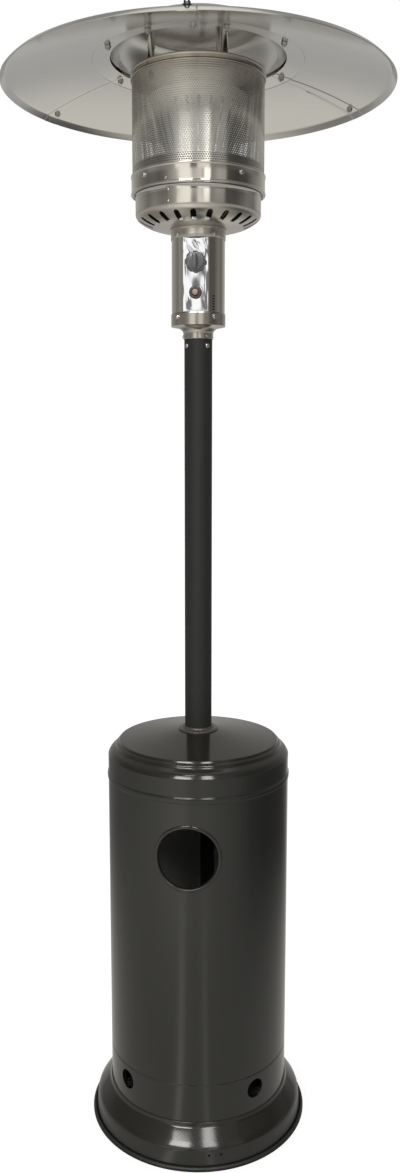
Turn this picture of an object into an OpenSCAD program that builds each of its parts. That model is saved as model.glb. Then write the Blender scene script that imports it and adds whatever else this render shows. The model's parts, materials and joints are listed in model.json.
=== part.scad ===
// Free-standing gas patio heater. A pressed base carries a vented ring, three inner legs and a
// post; a housing round the gas bottle lifts along the post; the head holds the gas control,
// a slotted burner cup, a perforated emitter and a lapped three-panel reflector.
// Millimetres, +Z up, origin on the floor under the post. The front faces -Y, and every
// azimuth is counted from the front towards +X.

/* [Base] */
// Diameter over the edge trim
base_d = 460; // [440:1:520]
// Height of the edge trim
trim_h = 9; // [6:0.5:14]
// How far the edge trim stands beyond the pan
trim_w = 6; // [4:0.5:9]
// Thickness of the trim under the pan's edge
trim_floor = 3; // [2:0.5:4]
// Height of the platform that the gas bottle stands on
base_h = 81; // [74:1:110]
// Height where the steep wall of the pan ends
pan_wall_h = 42; // [34:1:48]
// How far the steep wall leans in
pan_lean = 5; // [2:0.5:8]
// Sheet thickness of the pan
pan_t = 2; // [1.2:0.1:3]
// Height of the ballast ring under the platform
weight_h = 14; // [8:1:20]

/* [Housing] */
// Diameter of the housing
tank_d = 377; // [360:1:390]
// Sheet thickness of the ring, shell and cap
sheet_t = 1.2; // [0.8:0.1:2]
// Height of the vented ring
ring_h = 79; // [70:1:110]
// Diameter of the vent holes
vent_d = 40; // [20:1:50]
// Height of the shell
shell_h = 591.5; // [560:0.5:650]
// Diameter of the hand hole
hand_hole_d = 124; // [90:1:140]
// Height of the hand hole's centre above the shell's foot
hand_hole_z = 480; // [440:1:480]
// Width of the bead round the hand hole
hole_bead_w = 8; // [4:0.5:12]

/* [Cap] */
// Height of the cap's straight wall
cap_wall_h = 49; // [40:1:54]
// Radius of the cap's shoulder
shoulder_r = 11; // [6:0.5:12]
// Diameter of the lid
lid_d = 329; // [300:1:334]
// Height of the lid's edge above the cap's foot
lid_z = 79; // [76:1:100]
// Rise of the lid's cone
lid_rise = 20; // [10:1:30]
// Outer diameter of the collar round the post
collar_d = 84; // [76:1:110]
// Height of that collar above the lid
collar_h = 7; // [6:0.5:14]

/* [Legs] */
// Width of a leg
leg_w = 30; // [20:1:36]
// Thickness of a leg
leg_t = 4; // [3:0.5:6]
// Space between a leg and the housing
leg_inset = 10; // [8:0.5:20]
// Diameter of the post flange
flange_d = 124; // [116:1:150]
// Thickness of the post flange
flange_t = 4; // [3:0.5:8]

/* [Post] */
// Outer diameter of the post
post_d = 55.5; // [50:0.5:62]
// Wall of the post
post_t = 1.5; // [1:0.1:2.5]
// Length of the post
post_len = 875; // [820:1:950]
// Distance of the post bolts below the post's top
post_bolt_z = 23.5; // [18:0.5:30]

/* [Control head] */
// Outer diameter of the control box
box_d = 104.4; // [100:0.2:112]
// Height of the control box
box_h = 182; // [176:1:220]
// Width of the window for the control plate
window_w = 49; // [44:0.5:54]
// Height of the window
window_h = 138; // [130:1:140]
// Height of the window's foot above the box's foot
window_z = 25; // [24:0.5:28]
// Height of the knob's axis above the box's foot
knob_z = 117; // [112:0.5:122]
// Height of the igniter's axis above the box's foot
igniter_z = 60.5; // [52:0.5:66]
// Diameter of the knob's skirt
knob_d = 38; // [32:0.5:42]
// How far the knob pushes in
knob_travel = 4; // [2:0.5:6]
// Diameter of the igniter's bezel
bezel_d = 25; // [22:0.5:30]
// Diameter of the igniter's button
button_d = 12; // [9:0.5:13]
// How far the igniter's button pushes in
button_travel = 5; // [3:0.5:6]

/* [Burner cup] */
// Diameter of the cup
cup_d = 244; // [230:1:250]
// Height of the cup above the control box
cup_h = 66; // [56:1:80]
// Rise of the cup's dished bottom
cup_cone_h = 22; // [16:1:26]
// Radius of the cup's lower edge
cup_edge_r = 13; // [8:0.5:15]
// Number of air slots in the dished bottom
slot_n = 22; // [12:1:26]
// Width of an air slot
slot_w = 9; // [4:0.5:10]
// Height of the clamp collar
clamp_h = 36; // [30:1:44]
// Sheet thickness of the head's pressings
head_t = 1.2; // [0.8:0.1:1.8]

/* [Emitter] */
// Diameter of the emitter screen
emitter_d = 255; // [252:1:280]
// Height of the emitter screen
emitter_h = 220; // [190:1:260]
// Holes round the screen
mesh_cols = 30; // [20:2:40]
// Rows of holes
mesh_rows = 9; // [6:1:12]
// Diameter of a hole
mesh_d = 9; // [5:0.5:12]

/* [Reflector] */
// Diameter of the reflector
reflector_d = 750; // [700:1:820]
// Height of the reflector's opening above the emitter lid
reflector_gap = 27; // [20:1:40]
// Diameter of the central opening
opening_d = 337; // [320:1:360]
// Width of the bolting flange round the opening
flange_w = 35; // [30:1:45]
// Drop of that flange
flange_drop = 6.6; // [4:0.2:9]
// Drop of the cone outside the flange
cone_drop = 37; // [25:1:50]
// Width and drop of the turned-down lip
lip_w = 10; // [6:0.5:16]
// Sheet thickness of the panels and the dome
panel_t = 1; // [0.6:0.1:1.5]
// Angle of the visible seam at the front
seam_angle = 1.5; // [0:0.5:10]
// Angle of the lap between two panels
lap_angle = 4.5; // [3:0.5:6]
// Rise of the central dome
dome_rise = 50; // [40:1:70]
// Space between the panels and the dome
dome_gap = 5; // [3:0.5:8]
// Radius of the circle of spacer tubes
stud_r = 90; // [80:1:92]

/* [Fits] */
// Clearance between pieces that move on each other
slide_gap = 0.3; // [0.2:0.05:0.5]
// Clearance between pieces that are fixed together
seat_gap = 0.1; // [0.05:0.05:0.2]

/* [Hidden] */
$fn = 96;
base_r = base_d / 2;
tank_r = tank_d / 2;
post_r = post_d / 2;
box_r = box_d / 2;
cup_r = cup_d / 2;
emitter_r = emitter_d / 2;
rim_r = reflector_d / 2;
opening_r = opening_d / 2;
lid_r = lid_d / 2;
pan_r = base_r - trim_w;

// Base and legs
pan_ledge = 1.5;
pan_hole_d = 4.5;
pan_hole_z = 29.5;
pan_hole_angles = [12.3, 18.6];
weight_inner_r = 60;
weight_edge = 8;
leg_angles = [60, 180, 300];
leg_foot_l = 30;
leg_r = tank_r - sheet_t - leg_inset;
leg_bolt_r = leg_r - leg_t - (leg_foot_l - leg_t) / 2;
leg_tab_l = 24;
tab_bolt_r = flange_d / 2 - leg_tab_l / 2;
stub_h = 60;
stub_t = 2;
m8_d = 8;

// Vented ring and housing
lip_h = 12;
shelf_t = 2;
ring_bead_z = 10;
ring_bead_w = 1.3;
vent_angles = [45, 135, 225, 315];
vent_z = base_h + 47;
hole_bead_t = 1.6;
cap_bead_h = 13;
cap_bead_w = 2;
cap_spigot_h = 10;
lid_hole_r = post_r + 4;

// Heights of the stacked pieces
ring_top = base_h + ring_h;
shell_top = ring_top + shell_h;
lid_edge = shell_top + lid_z;
lid_top = lid_edge + lid_rise;
tab_z = shell_top + 24;
post_foot = tab_z + flange_t;
post_top = post_foot + post_len;
sleeve_foot = post_top - 10;
flare_foot = post_top + 0.5;
flare_h = 14;
box_foot = flare_foot + flare_h;
box_top = box_foot + box_h;
knob_h = box_foot + knob_z;
igniter_h = box_foot + igniter_z;
cup_top = box_top + cup_h;
emitter_foot = cup_top + seat_gap;
emitter_top = emitter_foot + emitter_h;
lid_plate_top = emitter_top + seat_gap + head_t;
flange_z = lid_plate_top + reflector_gap;

// Neck and control box
sleeve_t = 1.7;
sleeve_r = post_r + seat_gap + sleeve_t;
spigot_r = post_r - post_t - seat_gap;
spigot_t = 1.6;
spigot_h = 55;
web_t = 3;
band_r = box_r + seat_gap + head_t;
band_h = 24;
cup_neck_h = 18.5;
band_screw_angles = [43, 137, 223, 317];
post_bolt_angles = [45, 135, 225, 315];
m5_d = 5;
box_t = 1;
slit_angle = 41;
slit_n = 6;
slit_pitch = 5;
slit_w = 5;
slit_t = 2.2;
plate_t = 1.2;
plate_depth = 10;
plate_y = sqrt(pow(box_r, 2) - pow(window_w / 2, 2)) - 0.5;

// Gas valve, igniter and their moving parts
valve_w = 30;
valve_h = 34;
valve_front = 34;
valve_back = 12;
boss_d = 16;
boss_out = 0.6;
rotor_d = 10;
rotor_front = 43;
rotor_back = 12;
port_d = 4;
gallery_d = 3.4;
gallery_z = 11;
rotor_port = rotor_back + 3;
low_port_d = 1.5;
stem_d = 6;
stem_back = 22;
knob_clear = 1;
knob_back = plate_y + knob_travel + knob_clear;
skirt_t = 5;
knob_cone_t = 4;
knob_body_d = knob_d - 9;
grip_w = 10;
grip_h = 11;
stem_grip = 13;
barrel_d = 16;
barrel_back = 14;
barrel_flange_d = 22;
barrel_flange_t = 2;
bezel_t = 5;
button_out = 6.5;
button_in = 12;
jet_d = 12;
jet_h = 12;
inlet_y = 4;
inlet_nut_d = 16;
inlet_nut_h = 14;
inlet_tail_d = 9;
inlet_tail_l = 25;
tilt_d = 18;
tilt_h = 26;

// Burner
tube_r = 11;
tube_t = 1;
tube_foot = knob_h + valve_h / 2 + 6;
burner_plate_z = box_top - 6;
burner_plate_t = 2;
rod_r = 40;
rod_knuckle = 0.4;
rod_out_r = 62;
head_foot = box_top + 45;
head_h = 40;
head_r = 45;
head_top = head_foot + head_h;
cone_h = 160;
cone_top_r = 95;
cone_slots = 24;
cone_slot_w = 6;
slot_r0 = 87;
slot_r1 = 116;
slot_turn = 1.6;
lip_seat = 2;
clamp_t = 1.8;
clamp_r = emitter_r + seat_gap + clamp_t;
clamp_bolt_z = cup_top + 20;
clamp_bolt_angles = [45, 135, 225, 315];
screen_t = 1;
mesh_margin = 26;
skirt_h = 13;
skirt_bead = 1.2;

// Reflector
lap_gap = panel_t + seat_gap;
panel_start = seam_angle + lap_angle;
seam_mid = seam_angle + lap_angle / 2;
joggle_angle = 0.4;
butt_angle = 0.05;
cone_crown = 4;
flange_slope = atan(flange_drop / flange_w);
ring_bolt_r = opening_r + flange_w / 2;
ring_angles = concat([for (k = [0:5]) seam_mid + 60 * k], [-22, 22]);
seam_bolt_r = rim_r - lip_w - 13;
seam_angles = [for (k = [0:2]) seam_mid + 120 * k];
m6_d = 6;
washer_d = 14;
washer_t = 1.5;
dome_r = opening_r + flange_w - 3;
dome_flat_r = stud_r + 12;
dome_foot = flange_z + panel_t + dome_gap;
dome_top = dome_foot + dome_rise;
stud_angles = [39, 159, 279];
spacer_d = 13;
spacer_ring_z = 45;
loop_wire = 2.8;
loop_w = 8.4;
loop_top_r = 1.8;
loop_h = 14;

// Finishes
charcoal = [0.22, 0.22, 0.20];
black = [0.06, 0.06, 0.06];
steel = [0.62, 0.60, 0.56];
bright = [0.80, 0.80, 0.82];
aluminium = [0.67, 0.66, 0.62];
zinc = [0.55, 0.55, 0.52];
brass = [0.72, 0.58, 0.30];
copper = [0.66, 0.42, 0.30];
ceramic = [0.88, 0.86, 0.80];

// Points along an arc about c from angle a0 to a1
function arc(c, r, a0, a1, n = 6) =
    [for (i = [0:n]) c + r * [cos(a0 + (a1 - a0) * i / n), sin(a0 + (a1 - a0) * i / n)]];

function unit(v) = v / norm(v);
function left_of(v) = [-v.y, v.x];

// Point i of path p, moved t to the left of the path
function mitre(p, i, t) =
    let (before = unit(i > 0 ? p[i] - p[i - 1] : p[1] - p[0]),
         after = unit(i < len(p) - 1 ? p[i + 1] - p[i] : p[i] - p[i - 1]),
         half = unit(left_of(before) + left_of(after)))
    p[i] + half * t / (half * left_of(before));

function shifted(p, t) = [for (i = [0:len(p) - 1]) mitre(p, i, t)];

// Outline of a sheet of thickness t on the left of path p
function sheet(p, t) = concat(p, [for (i = [len(p) - 1:-1:0]) mitre(p, i, t)]);

module revolve(outline) {
    rotate_extrude() polygon(outline);
}

module sector(outline, from, to) {
    rotate([0, 0, from - 90]) rotate_extrude(angle = to - from) polygon(outline);
}

// Local z points outwards and local y points up
module at_radius(angle, r, z) {
    rotate([0, 0, angle]) translate([0, -r, z]) rotate([90, 0, 0]) children();
}

// Local z follows the normal of a surface that falls outwards by slope
module on_slope(angle, r, z, slope = 0) {
    rotate([0, 0, angle]) translate([0, -r, z]) rotate([slope, 0, 0]) children();
}

// Local z points to the front
module facing(z) {
    translate([0, 0, z]) rotate([90, 0, 0]) children();
}

module ring(outer_r, inner_r, h) {
    difference() {
        cylinder(r = outer_r, h = h);
        translate([0, 0, -1]) cylinder(r = inner_r, h = h + 2);
    }
}

// Head above z = 0, shank below it
module hex_bolt(d, shank) {
    cylinder(d = 1.9 * d, h = 0.65 * d, $fn = 6);
    translate([0, 0, -shank]) cylinder(d = d, h = shank + 0.1);
}

module hex_nut(d) {
    difference() {
        cylinder(d = 1.9 * d, h = 0.8 * d, $fn = 6);
        translate([0, 0, -1]) cylinder(d = d + 2 * seat_gap, h = d + 2);
    }
}

// Low round head above z = 0, shank below it
module pan_screw(d, shank) {
    difference() {
        union() {
            cylinder(d = 1.8 * d, h = 0.35 * d);
            translate([0, 0, 0.35 * d]) cylinder(d1 = 1.8 * d, d2 = 1.2 * d, h = 0.25 * d);
        }
        translate([-0.8 * d, -0.1 * d, 0.35 * d]) cube([1.6 * d, 0.2 * d, d]);
    }
    translate([0, 0, -shank]) cylinder(d = d, h = shank + 0.1);
}

// Round rod through the given points, with slightly larger ball corners
module bent_rod(points, d) {
    for (i = [0:len(points) - 2])
        let (a = points[i], v = points[i + 1] - a, flat = norm([v.x, v.y])) {
            translate(a) rotate([0, atan2(flat, v.z), atan2(v.y, v.x)])
                cylinder(d = d, h = norm(v));
            if (i > 0) translate(a) sphere(d = d + rod_knuckle);
        }
}

// Base

module base_trim() {
    seat_w = 8;
    color(black) revolve([
        [pan_r - seat_w, 0], [base_r - 1, 0], [base_r, 1], [base_r, trim_h - 2],
        [base_r - 2, trim_h], [pan_r + 2 * seat_gap, trim_h],
        [pan_r + 2 * seat_gap, trim_floor], [pan_r - seat_w, trim_floor]]);
}

pan_in = tank_r + pan_ledge;
pan_out = pan_r - pan_lean;
pan_foot = trim_floor + pan_t * pan_lean / (pan_wall_h - trim_floor) + seat_gap;
pan_path = [
    [pan_r, pan_foot], [pan_out, pan_wall_h], [pan_out - 2, pan_wall_h + 3.5],
    [pan_out - 5.5, pan_wall_h + 6.5], [pan_in + 6.5, base_h - 13],
    [pan_in + 3, base_h - 9.5], [pan_in + 1.5, base_h - 6], [pan_in, base_h], [0, base_h]];

module base_pan() {
    color(charcoal) difference() {
        revolve(sheet(pan_path, pan_t));
        for (a = pan_hole_angles)
            at_radius(a, pan_r - 20, pan_hole_z) cylinder(d = pan_hole_d, h = 30);
        leg_bolt_holes();
    }
}

module leg_bolt_holes() {
    for (a = leg_angles)
        on_slope(a, leg_bolt_r, base_h - pan_t - weight_h - 1)
            cylinder(d = m8_d + 2 * seat_gap, h = weight_h + pan_t + leg_t + 2);
}

module base_weight() {
    color(black) difference() {
        translate([0, 0, base_h - pan_t - weight_h])
            ring(tank_r - weight_edge, weight_inner_r, weight_h);
        leg_bolt_holes();
    }
}

// Vented ring that the housing stands on

module vent_ring() {
    inner_r = tank_r - sheet_t;
    lip_r = inner_r - 2 * slide_gap;
    foot_r = leg_r + 3;
    bead = [[tank_r, base_h + ring_bead_z - 3], [tank_r + ring_bead_w, base_h + ring_bead_z - 1],
        [tank_r + ring_bead_w, base_h + ring_bead_z + 1], [tank_r, base_h + ring_bead_z + 3]];
    color(charcoal) difference() {
        revolve(concat([[foot_r, base_h], [tank_r, base_h]], bead, [
            [tank_r, ring_top], [lip_r, ring_top], [lip_r, ring_top + lip_h],
            [lip_r - sheet_t, ring_top + lip_h], [lip_r - sheet_t, ring_top - shelf_t],
            [inner_r, ring_top - shelf_t], [inner_r, base_h + sheet_t],
            [foot_r, base_h + sheet_t]]));
        for (a = vent_angles)
            at_radius(a, tank_r - 12, vent_z) cylinder(d = vent_d, h = 24);
    }
}

// Legs and post flange

leg_path = [
    [leg_r - leg_foot_l, base_h], [leg_r, base_h], [leg_r, tab_z - 90],
    [flange_d / 2, tab_z], [flange_d / 2 - leg_tab_l, tab_z]];

module support_leg(angle) {
    color(black) difference() {
        rotate([0, 0, angle - 90]) rotate([90, 0, 0])
            linear_extrude(leg_w, center = true) polygon(sheet(leg_path, leg_t));
        leg_bolt_holes();
        flange_bolt_holes();
    }
}

module flange_bolt_holes() {
    for (a = leg_angles)
        on_slope(a, tab_bolt_r, tab_z - leg_t - 1)
            cylinder(d = m8_d + 2 * seat_gap, h = leg_t + flange_t + 2);
}

module support_leg_1() { support_leg(leg_angles[0]); }

module support_leg_2() { support_leg(leg_angles[1]); }

module support_leg_3() { support_leg(leg_angles[2]); }

module leg_bolts() {
    grip = leg_t + pan_t + weight_h;
    color(zinc) for (a = leg_angles)
        on_slope(a, leg_bolt_r, base_h + leg_t) hex_bolt(m8_d, grip + m8_d + 2);
}

module leg_nuts() {
    color(zinc) for (a = leg_angles)
        on_slope(a, leg_bolt_r, base_h - pan_t - weight_h - 0.8 * m8_d) hex_nut(m8_d);
}

module post_flange() {
    stub_r = post_r - post_t - seat_gap;
    color(black) difference() {
        union() {
            translate([0, 0, tab_z]) cylinder(d = flange_d, h = flange_t);
            translate([0, 0, tab_z]) cylinder(r = stub_r, h = flange_t + stub_h);
        }
        translate([0, 0, tab_z - 1]) cylinder(r = stub_r - stub_t, h = flange_t + stub_h + 2);
        flange_bolt_holes();
    }
}

module flange_bolts() {
    color(zinc) for (a = leg_angles)
        on_slope(a, tab_bolt_r, tab_z + flange_t) hex_bolt(m8_d, flange_t + leg_t + m8_d + 2);
}

module flange_nuts() {
    color(zinc) for (a = leg_angles)
        on_slope(a, tab_bolt_r, tab_z - leg_t - 0.8 * m8_d) hex_nut(m8_d);
}

// Housing that lifts along the post

module housing_shell() {
    hole_z = ring_top + hand_hole_z;
    bead_r = hand_hole_d / 2 + hole_bead_w;
    color(charcoal) difference() {
        union() {
            translate([0, 0, ring_top]) ring(tank_r, tank_r - sheet_t, shell_h);
            intersection() {
                translate([0, 0, hole_z - bead_r - 5])
                    ring(tank_r + hole_bead_t, tank_r - sheet_t / 2, 2 * bead_r + 10);
                at_radius(0, tank_r / 2, hole_z) cylinder(r = bead_r, h = tank_r);
            }
        }
        at_radius(0, tank_r / 2, hole_z) cylinder(d = hand_hole_d, h = tank_r);
    }
}

cap_path = concat(
    [[tank_r, shell_top], [tank_r + 0.8 * cap_bead_w, shell_top + 0.25 * cap_bead_h],
     [tank_r + cap_bead_w, shell_top + 0.5 * cap_bead_h],
     [tank_r + 0.8 * cap_bead_w, shell_top + 0.75 * cap_bead_h],
     [tank_r, shell_top + cap_bead_h]],
    arc([tank_r - shoulder_r, shell_top + cap_wall_h], shoulder_r, 0, 72),
    [[lid_r + 8, lid_edge - 13], [lid_r + 6.5, lid_edge - 7], [lid_r + 2, lid_edge - 5],
     [lid_r, lid_edge], [lid_hole_r, lid_top]]);

module housing_cap() {
    inner_r = tank_r - sheet_t - seat_gap;
    color(charcoal) {
        revolve(sheet(cap_path, sheet_t));
        revolve([
            [inner_r - sheet_t, shell_top - cap_spigot_h], [inner_r, shell_top - cap_spigot_h],
            [inner_r, shell_top], [tank_r - 0.2, shell_top], [tank_r - 0.2, shell_top + 1],
            [inner_r - sheet_t, shell_top + 1]]);
    }
}

// Height of the lid's cone at radius r
function lid_cone(r) = lid_edge + lid_rise * (lid_r - r) / (lid_r - lid_hole_r);

module post_collar() {
    outer_r = collar_d / 2;
    neck_r = lid_hole_r - 2 * seat_gap;
    hole_r = post_r + slide_gap;
    skirt_z = lid_top - 8;
    color(black) revolve([
        [hole_r, skirt_z], [neck_r, skirt_z], [neck_r, lid_cone(neck_r) + seat_gap],
        [outer_r, lid_cone(outer_r) + seat_gap], [outer_r, lid_cone(outer_r) + 2],
        [outer_r - 3, lid_top + 3], [hole_r + 5, lid_top + 3.5], [hole_r + 4, lid_top + collar_h],
        [hole_r, lid_top + collar_h]]);
}

// Post and neck

module post() {
    color(black) difference() {
        translate([0, 0, post_foot]) ring(post_r, post_r - post_t, post_len);
        post_bolt_holes();
    }
}

module post_bolt_holes() {
    for (a = post_bolt_angles)
        at_radius(a, post_r - 8, post_top - post_bolt_z)
            cylinder(d = m5_d + 2 * seat_gap, h = 16);
}

module post_bolts() {
    color(zinc) for (a = post_bolt_angles)
        at_radius(a, post_r + seat_gap, post_top - post_bolt_z) pan_screw(m5_d, 6);
}

// Sleeve, concave flare and band of the neck, from the foot up
neck_path = concat(
    [[sleeve_r, sleeve_foot]],
    [for (i = [0:8]) [
        sleeve_r + (band_r - sleeve_r) * (1 - cos(i * 90 / 8)),
        flare_foot + flare_h * sin(i * 90 / 8)]],
    [[band_r, box_foot + band_h]]);

module neck_cone() {
    color(steel) difference() {
        union() {
            revolve(sheet(neck_path, head_t));
            revolve([
                [spigot_r - spigot_t, post_top - spigot_h], [spigot_r, post_top - spigot_h],
                [spigot_r, post_top], [sleeve_r - 0.3, post_top],
                [sleeve_r - 0.3, post_top + web_t], [spigot_r - spigot_t, post_top + web_t]]);
            translate([0, 0, sleeve_foot])
                ring(sleeve_r, post_r + seat_gap, post_top - sleeve_foot);
        }
        post_bolt_holes();
        band_screw_holes();
        neck_screw_holes();
    }
}

neck_screw_angles = [43, 163, 283];
neck_screw_z = (sleeve_foot + post_top) / 2;
m3_d = 3;

module neck_screw_holes() {
    for (a = neck_screw_angles)
        at_radius(a, post_r - 8, neck_screw_z) cylinder(d = m3_d + 2 * seat_gap, h = 16);
}

module neck_screws() {
    color(steel) for (a = neck_screw_angles)
        at_radius(a, sleeve_r + seat_gap, neck_screw_z) pan_screw(m3_d, sleeve_t);
}

// Control box

band_screw_zs = [box_foot + 15.5, box_top - 13];

module band_screw_holes() {
    for (a = band_screw_angles)
        for (z = band_screw_zs)
            at_radius(a, box_r - 8, z) cylinder(d = m5_d + 2 * seat_gap, h = 16);
}

module box_screws() {
    color(steel) for (a = band_screw_angles)
        for (z = band_screw_zs)
            at_radius(a, band_r + seat_gap, z) pan_screw(m5_d, 6);
}

module control_box() {
    foot = box_foot + head_t + seat_gap;
    color(steel) difference() {
        translate([0, 0, foot]) ring(box_r, box_r - box_t, box_top - foot);
        translate([-window_w / 2, -box_r - 5, box_foot + window_z])
            cube([window_w, box_r, window_h]);
        for (i = [0:slit_n - 1])
            at_radius(slit_angle, box_r - 5, box_foot + window_z + 3 + i * slit_pitch)
                translate([-slit_w / 2, 0, 0]) cube([slit_w, slit_t, 10]);
        band_screw_holes();
    }
}

// Shallow tray that fills the window
module control_plate() {
    w = window_w - 4 * seat_gap;
    h = window_h - 4 * seat_gap;
    z = box_foot + window_z + 2 * seat_gap;
    color(bright) difference() {
        translate([-w / 2, -plate_y, z]) cube([w, plate_depth, h]);
        translate([-w / 2 + plate_t, -plate_y + plate_t, z + plate_t])
            cube([w - 2 * plate_t, plate_depth, h - 2 * plate_t]);
        facing(knob_h) cylinder(d = boss_d + 2 * seat_gap, h = plate_y + 5);
        facing(igniter_h) cylinder(d = barrel_d + 2 * seat_gap, h = plate_y + 5);
    }
}

// Gas valve; distances along local z are from the post's axis towards the front

module gas_valve() {
    color(zinc) difference() {
        union() {
            translate([-valve_w / 2, -valve_front, knob_h - valve_h / 2])
                cube([valve_w, valve_front + valve_back, valve_h]);
            facing(knob_h) cylinder(d = boss_d, h = plate_y + boss_out);
        }
        facing(knob_h) translate([0, 0, rotor_back - 1])
            cylinder(d = rotor_d + 2 * slide_gap, h = plate_y);
        inlet_passage();
        outlet_passage();
    }
}

// Up from the inlet fitting, then forward to the rotor's back end
module inlet_passage() {
    translate([0, inlet_y, knob_h - valve_h]) cylinder(d = port_d, h = valve_h);
    translate([0, inlet_y, knob_h]) rotate([90, 0, 0]) cylinder(d = gallery_d, h = inlet_y + rotor_back);
}

// Up from the rotor's side, then back and up to the jet
module outlet_passage() {
    translate([0, -rotor_port, knob_h]) cylinder(d = port_d, h = gallery_z);
    translate([0, 0, knob_h + gallery_z]) {
        rotate([90, 0, 0]) cylinder(d = gallery_d, h = rotor_port);
        cylinder(d = port_d, h = valve_h);
    }
}

// Gas enters the rotor at its back end and leaves by a side hole: the large one faces up when the
// rotor is turned a quarter, the small one when it is turned a half, and neither does at rest
module valve_rotor() {
    color(brass) difference() {
        facing(knob_h) translate([0, 0, rotor_back]) cylinder(d = rotor_d, h = rotor_front - rotor_back);
        facing(knob_h) translate([0, 0, stem_back - knob_travel - 1])
            cylinder(d = stem_d + 2 * slide_gap, h = rotor_front);
        facing(knob_h) translate([0, 0, rotor_back - 1])
            cylinder(d = gallery_d, h = rotor_port - rotor_back + 2);
        translate([0, -rotor_port, knob_h]) {
            rotate([0, 90, 0]) cylinder(d = gallery_d - 0.4, h = rotor_d);
            translate([0, 0, -rotor_d]) cylinder(d = low_port_d, h = rotor_d);
        }
    }
}

module valve_stem() {
    color(steel) facing(knob_h) difference() {
        translate([0, 0, stem_back]) cylinder(d = stem_d, h = knob_back + stem_grip - stem_back);
        translate([-stem_d, stem_d / 2 - 1, knob_back]) cube([2 * stem_d, stem_d, stem_grip + 1]);
    }
}

module control_knob() {
    face = knob_back + skirt_t + knob_cone_t;
    color(black) facing(knob_h) difference() {
        union() {
            translate([0, 0, knob_back]) cylinder(d = knob_d, h = skirt_t);
            translate([0, 0, knob_back + skirt_t])
                cylinder(d1 = knob_d - 3, d2 = knob_body_d, h = knob_cone_t);
            intersection() {
                translate([-grip_w / 2, -knob_d / 2, face - 1]) cube([grip_w, knob_d, grip_h + 1]);
                translate([0, 0, face - 1]) cylinder(d1 = knob_d - 5, d2 = knob_body_d - 4, h = grip_h + 1);
            }
        }
        translate([0, 0, knob_back - 1])
            cylinder(d = stem_d + 2 * seat_gap, h = stem_grip + 1 + seat_gap);
    }
}

module inlet_fitting() {
    top = knob_h - valve_h / 2 - seat_gap;
    color(brass) translate([0, inlet_y, 0]) difference() {
        union() {
            translate([0, 0, top - inlet_nut_h]) cylinder(d = inlet_nut_d, h = inlet_nut_h, $fn = 6);
            translate([0, 0, top - inlet_nut_h - inlet_tail_l])
                cylinder(d = inlet_tail_d, h = inlet_tail_l + 1);
            for (i = [0:2])
                translate([0, 0, top - inlet_nut_h - inlet_tail_l + 2 + i * 6])
                    cylinder(d1 = inlet_tail_d, d2 = inlet_tail_d + 2, h = 3);
        }
        translate([0, 0, top - inlet_nut_h - inlet_tail_l - 1])
            cylinder(d = port_d, h = inlet_nut_h + inlet_tail_l + 2);
    }
}

module gas_jet() {
    foot = knob_h + valve_h / 2 + seat_gap;
    color(brass) difference() {
        union() {
            translate([0, 0, foot]) cylinder(d = jet_d, h = jet_h / 2, $fn = 6);
            translate([0, 0, foot + jet_h / 2 - 0.1]) cylinder(d1 = jet_d - 3, d2 = 4, h = jet_h / 2);
        }
        translate([0, 0, foot - 1]) cylinder(d = 1.5, h = jet_h + 2);
    }
}

module tilt_switch() {
    color(black) translate([0, valve_back + seat_gap + tilt_d / 2, knob_h - tilt_h / 2]) {
        cylinder(d = tilt_d, h = tilt_h);
        translate([0, 0, tilt_h - 0.1]) cylinder(d = tilt_d / 2, h = 4);
    }
}

// Igniter; distances along local z are from the post's axis towards the front

module igniter_barrel() {
    seat = plate_y - plate_t - seat_gap;
    color(black) facing(igniter_h) difference() {
        union() {
            translate([0, 0, barrel_back]) cylinder(d = barrel_d, h = plate_y + bezel_t - 1 - barrel_back);
            translate([0, 0, seat - barrel_flange_t]) cylinder(d = barrel_flange_d, h = barrel_flange_t);
        }
        translate([0, 0, plate_y - button_in - button_travel - 1])
            cylinder(d = button_d + 2 * slide_gap, h = plate_y);
    }
}

module igniter_bezel() {
    color(black) facing(igniter_h) difference() {
        union() {
            translate([0, 0, plate_y + seat_gap]) cylinder(d = bezel_d, h = bezel_t - 2);
            translate([0, 0, plate_y + seat_gap + bezel_t - 2])
                cylinder(d1 = bezel_d, d2 = bezel_d - 4, h = 2);
        }
        translate([0, 0, plate_y - 1]) cylinder(d = barrel_d + 2 * seat_gap, h = bezel_t);
        translate([0, 0, plate_y]) cylinder(d = button_d + 2 * slide_gap, h = bezel_t + 5);
    }
}

module igniter_button() {
    front = plate_y + bezel_t + button_out;
    color(copper) facing(igniter_h) {
        translate([0, 0, plate_y - button_in]) cylinder(d = button_d, h = front - 2 - plate_y + button_in);
        translate([0, 0, front - 2]) cylinder(d1 = button_d, d2 = button_d - 4, h = 2);
    }
}

// Leads, pilot and sensing parts

electrode_angle = 135;
ceramic_d = 8;
ceramic_down = 8;
ceramic_up = 26;
wire_d = 2.4;
lead_d = 4;
function polar(angle, r, z) = [r * sin(angle), -r * cos(angle), z];

module ignition_lead() {
    color(black) bent_rod([
        [0, -barrel_back + seat_gap, igniter_h], [0, -barrel_back + 4, igniter_h],
        [valve_w / 2 + 9, -4, igniter_h + 6], polar(electrode_angle, rod_r, igniter_h + 30),
        polar(electrode_angle, rod_r, burner_plate_z - ceramic_down - seat_gap)], lead_d);
}

module spark_electrode() {
    top = burner_plate_z + ceramic_up;
    color(ceramic) {
        translate(polar(electrode_angle, rod_r, burner_plate_z - ceramic_down))
            cylinder(d = ceramic_d, h = ceramic_down + ceramic_up);
        bent_rod([
            polar(electrode_angle, rod_r, top - 1), polar(electrode_angle, rod_r, top + 4),
            polar(electrode_angle, rod_out_r, head_foot), polar(electrode_angle, rod_out_r, head_top + 6)],
            wire_d);
    }
}

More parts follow.
